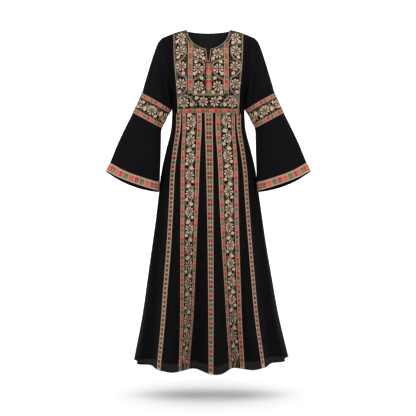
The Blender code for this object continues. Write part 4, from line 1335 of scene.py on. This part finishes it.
for hand in (-1, 1):
    slit_marks = ((0.1085, 0.0026, "red", 0.0062), (0.1225, 0.0030, "salmon", 0.0054))
    for centre, half, thread, lengthwise in slit_marks:
        aside = 0.0148 - 0.0022 * (centre > 0.12)
        path = [(0.0015 + hand * aside, centre + share * lengthwise) for share in (-1, -0.9, 0, 0.9, 1)]
        panel.satin(path, half, thread, loft=0.0005, lift=0.0003)
    round_neck = np.linspace(0.150, 0.965, 24) * NECK_HALF_WIDTH
    neck_edge = np.stack([hand * round_neck, -neckline(round_neck, -1)], axis=1)
    run = unit(np.gradient(neck_edge, axis=0))
    aside = np.stack([run[:, 1], -run[:, 0]], axis=1) * hand
    for offset, thread, half in ((0.0062, "brown", 0.0011), (0.0096, "tan", 0.0010)):
        panel.satin(neck_edge - aside * offset, half, thread, loft=0.0004)


def open_chest(across, down):
    """True where the chest's black would show, clear of its edges, the neck and the three ribbons."""
    beside = abs(abs(across) - 0.0740) < 0.0125 and 0.040 < down < 0.262
    middle = abs(across - 0.0025) < 0.0145 and 0.100 < down < 0.262
    low_line = abs(down - 0.262) < 0.0060 and abs(across) < 0.066
    edge = np.interp(down, panel_edge_down, panel_edge_line) - 0.0085
    neck = abs(across) < NECK_HALF_WIDTH and down < -neckline(across, -1) + 0.0115
    shoulder = down < -shoulder_line(across) + 0.003
    return not (beside or middle or low_line or neck or shoulder or abs(across) > edge)


sprigs(panel, (-0.145, -0.010), (0.145, 0.3185), open_chest)
dressed(
    "chest_panel", "front_embroidered_panel", panel_base, chest.cloth, panel, front_bodice
)

# %% [markdown]
# The waist ribbon lies over the seam between the bodice and the skirt, and turns the same row of
# squares on its side.
# %% Waist ribbon
waist_rows = slice(0, PANEL_ROW)
waist = chest_ground(waist_rows)
waist_base = cloth_shell("waist_ribbon_cloth", waist.cloth, [tan_ribbon], BASE_ABOVE, BASE_THICKNESS)
waist_stitching = Stitching(waist, 91)
waist_middle = -WAIST_HEIGHT - WAIST_TRIM_WIDTH / 2
for n in range(-7, 8):
    thread = WIDE_ORDER[n % 3]
    middle = -0.004 + n * 0.0178
    path = [(middle + share * 0.0158, waist_middle) for share in (-0.5, -0.46, 0.0, 0.46, 0.5)]
    if abs(middle) < 0.125:
        halves = [0.0068, 0.0080, 0.0076, 0.0080, 0.0068]
        waist_stitching.satin(path, halves, thread, loft=0.0006, lift=0.0002)
for offset in (-1, 1):
    place = waist_middle + offset * 0.0086
    line(waist_stitching, (-0.125, place), (0.125, place), 0.0006, "tan")
dressed("waist_ribbon", "waist_trim", waist_base, waist.cloth, waist_stitching, front_bodice)

# %% [markdown]
# ## Sleeve bands and cuff ribbons
# The band round each sleeve is a wide ribbon turned on its side, so its garland runs round the
# arm. The cuff ribbon has two rows of squares, and runs right round the bell just above its edge.
# %% Sleeve bands and cuffs


def tube_ground(cloth):
    """A ground round a sleeve, with its mean girth and its width: across is down the arm here."""
    rows, columns = cloth.points.shape[:2]
    closed = np.concatenate([cloth.points, cloth.points[:, :1]], axis=1)
    girth = np.linalg.norm(np.diff(closed, axis=1), axis=-1).sum(axis=1).mean()
    width = np.linalg.norm(np.diff(cloth.points, axis=0), axis=-1).sum(axis=0).mean()

    def chart(across, around):
        return (0.5 + across / width) * (rows - 1), around / girth * columns

    return Ground(cloth, chart), girth, width


for side_name, mirror in (("left", 1), ("right", -1)):
    band = sleeve_piece(mirror, BAND_TOP_RING, BAND_BOTTOM_RING, 25)
    base = cloth_shell(f"sleeve_band_{side_name}_cloth", band, [black_ground], BASE_ABOVE, BASE_THICKNESS)
    ground, girth, width = tube_ground(band)
    stitching = Stitching(ground, 131 + mirror)
    count = round(girth / 0.0734)
    around = girth / count
    for side in (-1, 1):
        border = side * (width / 2 - 0.0095)
        line(stitching, (border, 0), (border, girth), 0.0090, "tan", loft=0.0001)
        for inset, half in ((0.0018, 0.0016), (0.0172, 0.0013)):
            edge = side * (width / 2 - inset)
            line(stitching, (edge, 0), (edge, girth), half, "tan", lift=0.0001)
        pitch = girth / (3 * round(girth / 3 / 0.0165))
        size, order = (0.0138, 0.0132), ("red", "salmon", "green")
        square_row(stitching, border, 0.004, girth - 0.006, size, order, 0, pitch)
    flowers = [(0.0, around * (n + 0.55)) for n in range(count)]
    garland(stitching, flowers, 0.0198, 0.0170, 1, width / 2 - 0.0200)
    sprigs(stitching, (0.0190 - width / 2, 0.0), (width / 2 - 0.0188, girth), lambda across, down: True)
    node = f"sleeve_band_{side_name}"
    dressed(node, node, base, band, stitching, sleeve_pieces[side_name][0])

    cuff = sleeve_piece(mirror, CUFF_TRIM_RING, CUFF_RING, 13)
    base = cloth_shell(f"cuff_ribbon_{side_name}_cloth", cuff, [tan_ribbon], BASE_ABOVE, BASE_THICKNESS)
    ground, girth, width = tube_ground(cuff)
    stitching = Stitching(ground, 151 + mirror)
    pitch = girth / (3 * round(girth / 3 / 0.0187))
    for side in (-1, 1):
        line(stitching, (side * (width / 2 - 0.0022), 0), (side * (width / 2 - 0.0022), girth), 0.0016, "tan")
        size = (0.0134, 0.0160)
        square_row(stitching, side * 0.0068 - 0.0014, 0.004, girth - 0.006, size, WIDE_ORDER, 0, pitch)
    node = f"cuff_trim_{side_name}"
    flare_piece = sleeve_pieces[side_name][1]
    dressed(f"cuff_ribbon_{side_name}", node, base, cuff, stitching, flare_piece)

# %% [markdown]
# ## The cord round the neck
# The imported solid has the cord's true form already, so it only needs its finish: a tan thread
# wound slantwise round a core, which three sines in space and some noise draw well enough.
# %% Neck cord
CORD_TURNS_PER_METRE = 520


def cord_material():
    material, start, shader = new_material("tan_cord", Specular_IOR_Level=0.3, Sheen_Weight=0.1)
    where = start.node("ShaderNodeTexCoord", output=3)
    split = start.node("ShaderNodeSeparateXYZ", inputs={0: where})
    along = split + Flow(start.tree, split.socket.node.outputs[2]) * 1.0
    winding = (along * (CORD_TURNS_PER_METRE * math.pi)).sine()
    wear = start.node("ShaderNodeTexNoise", inputs={"Vector": where, "Scale": 300, "Detail": 3})
    shade = (wear * 0.9 + winding * winding * 0.35).clamped()
    feed(shade.between((0.20, 0.140, 0.095), (0.44, 0.330, 0.225)), shader, "Base Color")
    feed(0.55 + wear * 0.3, shader, "Roughness")
    relief = winding * winding + wear * 0.3
    emboss(start, shader, relief, strength=0.7, distance=0.0005)
    return material


neck_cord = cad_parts["neck_piping"]
neck_cord.data.materials.clear()
neck_cord.data.materials.append(cord_material())
print("the neck cord has", len(neck_cord.data.polygons), "faces")

# %% [markdown]
# ## Floor, light and camera
# The dress floats a hand's breadth above a round white floor that curves up into a wall on all
# sides, so the only mark on the white is the soft shadow. Two panels light it evenly from the
# front, and a big one above makes the shadow. The camera stands five metres away at the middle of
# the dress's height.
# %% Studio
FLOOR_HEIGHT = -1.5075
CAMERA_DISTANCE = 5.0
CAMERA_HEIGHT = -0.728
CAMERA_ASIDE = -0.0013
LENS = 103.3
FLOOR_RADIUS = 10.0
WALL_BEND = 2.0
WALL_TOP = 7.0
FLOOR_SECTORS = 72


def studio_floor():
    bends = np.linspace(0, math.pi / 2, 13)
    bend_radii = FLOOR_RADIUS + WALL_BEND * np.sin(bends[1:])
    bend_heights = WALL_BEND * (1 - np.cos(bends[1:]))
    radii = [0.0, 3.0, FLOOR_RADIUS, *bend_radii, FLOOR_RADIUS + WALL_BEND]
    heights = FLOOR_HEIGHT + np.array([0.0, 0.0, 0.0, *bend_heights, WALL_TOP - FLOOR_HEIGHT])
    turns = np.linspace(0, 2 * math.pi, FLOOR_SECTORS, endpoint=False)
    rings = [
        [(r * math.cos(turn), r * math.sin(turn), z) for turn in turns]
        for r, z in zip(radii[1:], heights[1:])
    ]
    points = np.array([(0, 0, FLOOR_HEIGHT), *(point for ring in rings for point in ring)])
    after = [(k + 1) % FLOOR_SECTORS for k in range(FLOOR_SECTORS)]
    faces = [(0, 1 + k, 1 + after[k]) for k in range(FLOOR_SECTORS)]
    for n in range(len(rings) - 1):
        low, high = 1 + n * FLOOR_SECTORS, 1 + (n + 1) * FLOOR_SECTORS
        faces += [(low + k, high + k, high + after[k], low + after[k]) for k in range(FLOOR_SECTORS)]
    mesh = bpy.data.meshes.new("studio_floor")
    mesh.from_pydata(points.tolist(), [], faces)
    mesh.shade_smooth()
    material, start, shader = new_material("studio_white", Roughness=0.9, Emission_Strength=1.0)
    where = start.node("ShaderNodeTexCoord", output=3)
    depth = start.node("ShaderNodeSeparateXYZ", inputs={0: where}, output=1)
    grain = start.node("ShaderNodeTexNoise", inputs={"Vector": where, "Scale": 3.0, "Detail": 2})
    feed(grain.between((0.62, 0.62, 0.62), (0.64, 0.64, 0.64)), shader, "Base Color")
    backdrop = (depth * 0.28 - 0.16).clamped()
    feed(backdrop.between((0.21, 0.21, 0.21), (0.95, 0.95, 0.95)), shader, "Emission Color")
    mesh.materials.append(material)
    floor = bpy.data.objects.new("studio_floor", mesh)
    bpy.context.scene.collection.objects.link(floor)


def panel_light(name, location, target, size, power):
    lamp = bpy.data.lights.new(name, "AREA")
    lamp.shape = "RECTANGLE"
    lamp.size, lamp.size_y = size
    lamp.energy = power
    made = bpy.data.objects.new(name, lamp)
    made.location = location
    aim = np.array(target) - np.array(location)
    made.rotation_euler = (
        math.atan2(math.hypot(aim[0], aim[1]), -aim[2]),
        0,
        math.atan2(aim[1], aim[0]) - math.pi / 2,
    )
    bpy.context.scene.collection.objects.link(made)


studio_floor()
panel_light("front_left_panel", (-1.5, -2.3, 1.25), (0, 0, -0.1), (0.9, 0.9), 14)
panel_light("front_right_panel", (1.6, -2.2, 1.2), (0, 0, -0.1), (0.9, 0.9), 12)
panel_light("overhead_panel", (0, 0, 3.0), (0, 0, -1.5), (11.0, 11.0), 540)
world = bpy.data.worlds.new("studio_air")
bpy.context.scene.world = world
world.use_nodes = True
world.node_tree.nodes["Background"].inputs["Color"].default_value = (1, 1, 1, 1)
world.node_tree.nodes["Background"].inputs["Strength"].default_value = 0.15
bpy.context.scene.view_settings.view_transform = "Standard"

lens = bpy.data.cameras.new("camera")
lens.lens = LENS
lens.sensor_width = 36
lens.clip_end = 50
camera = bpy.data.objects.new("camera", lens)
camera.location = (CAMERA_ASIDE, -CAMERA_DISTANCE, CAMERA_HEIGHT)
camera.rotation_euler = (math.pi / 2, 0, 0)
bpy.context.scene.collection.objects.link(camera)
bpy.context.scene.camera = camera
print("studio ready")
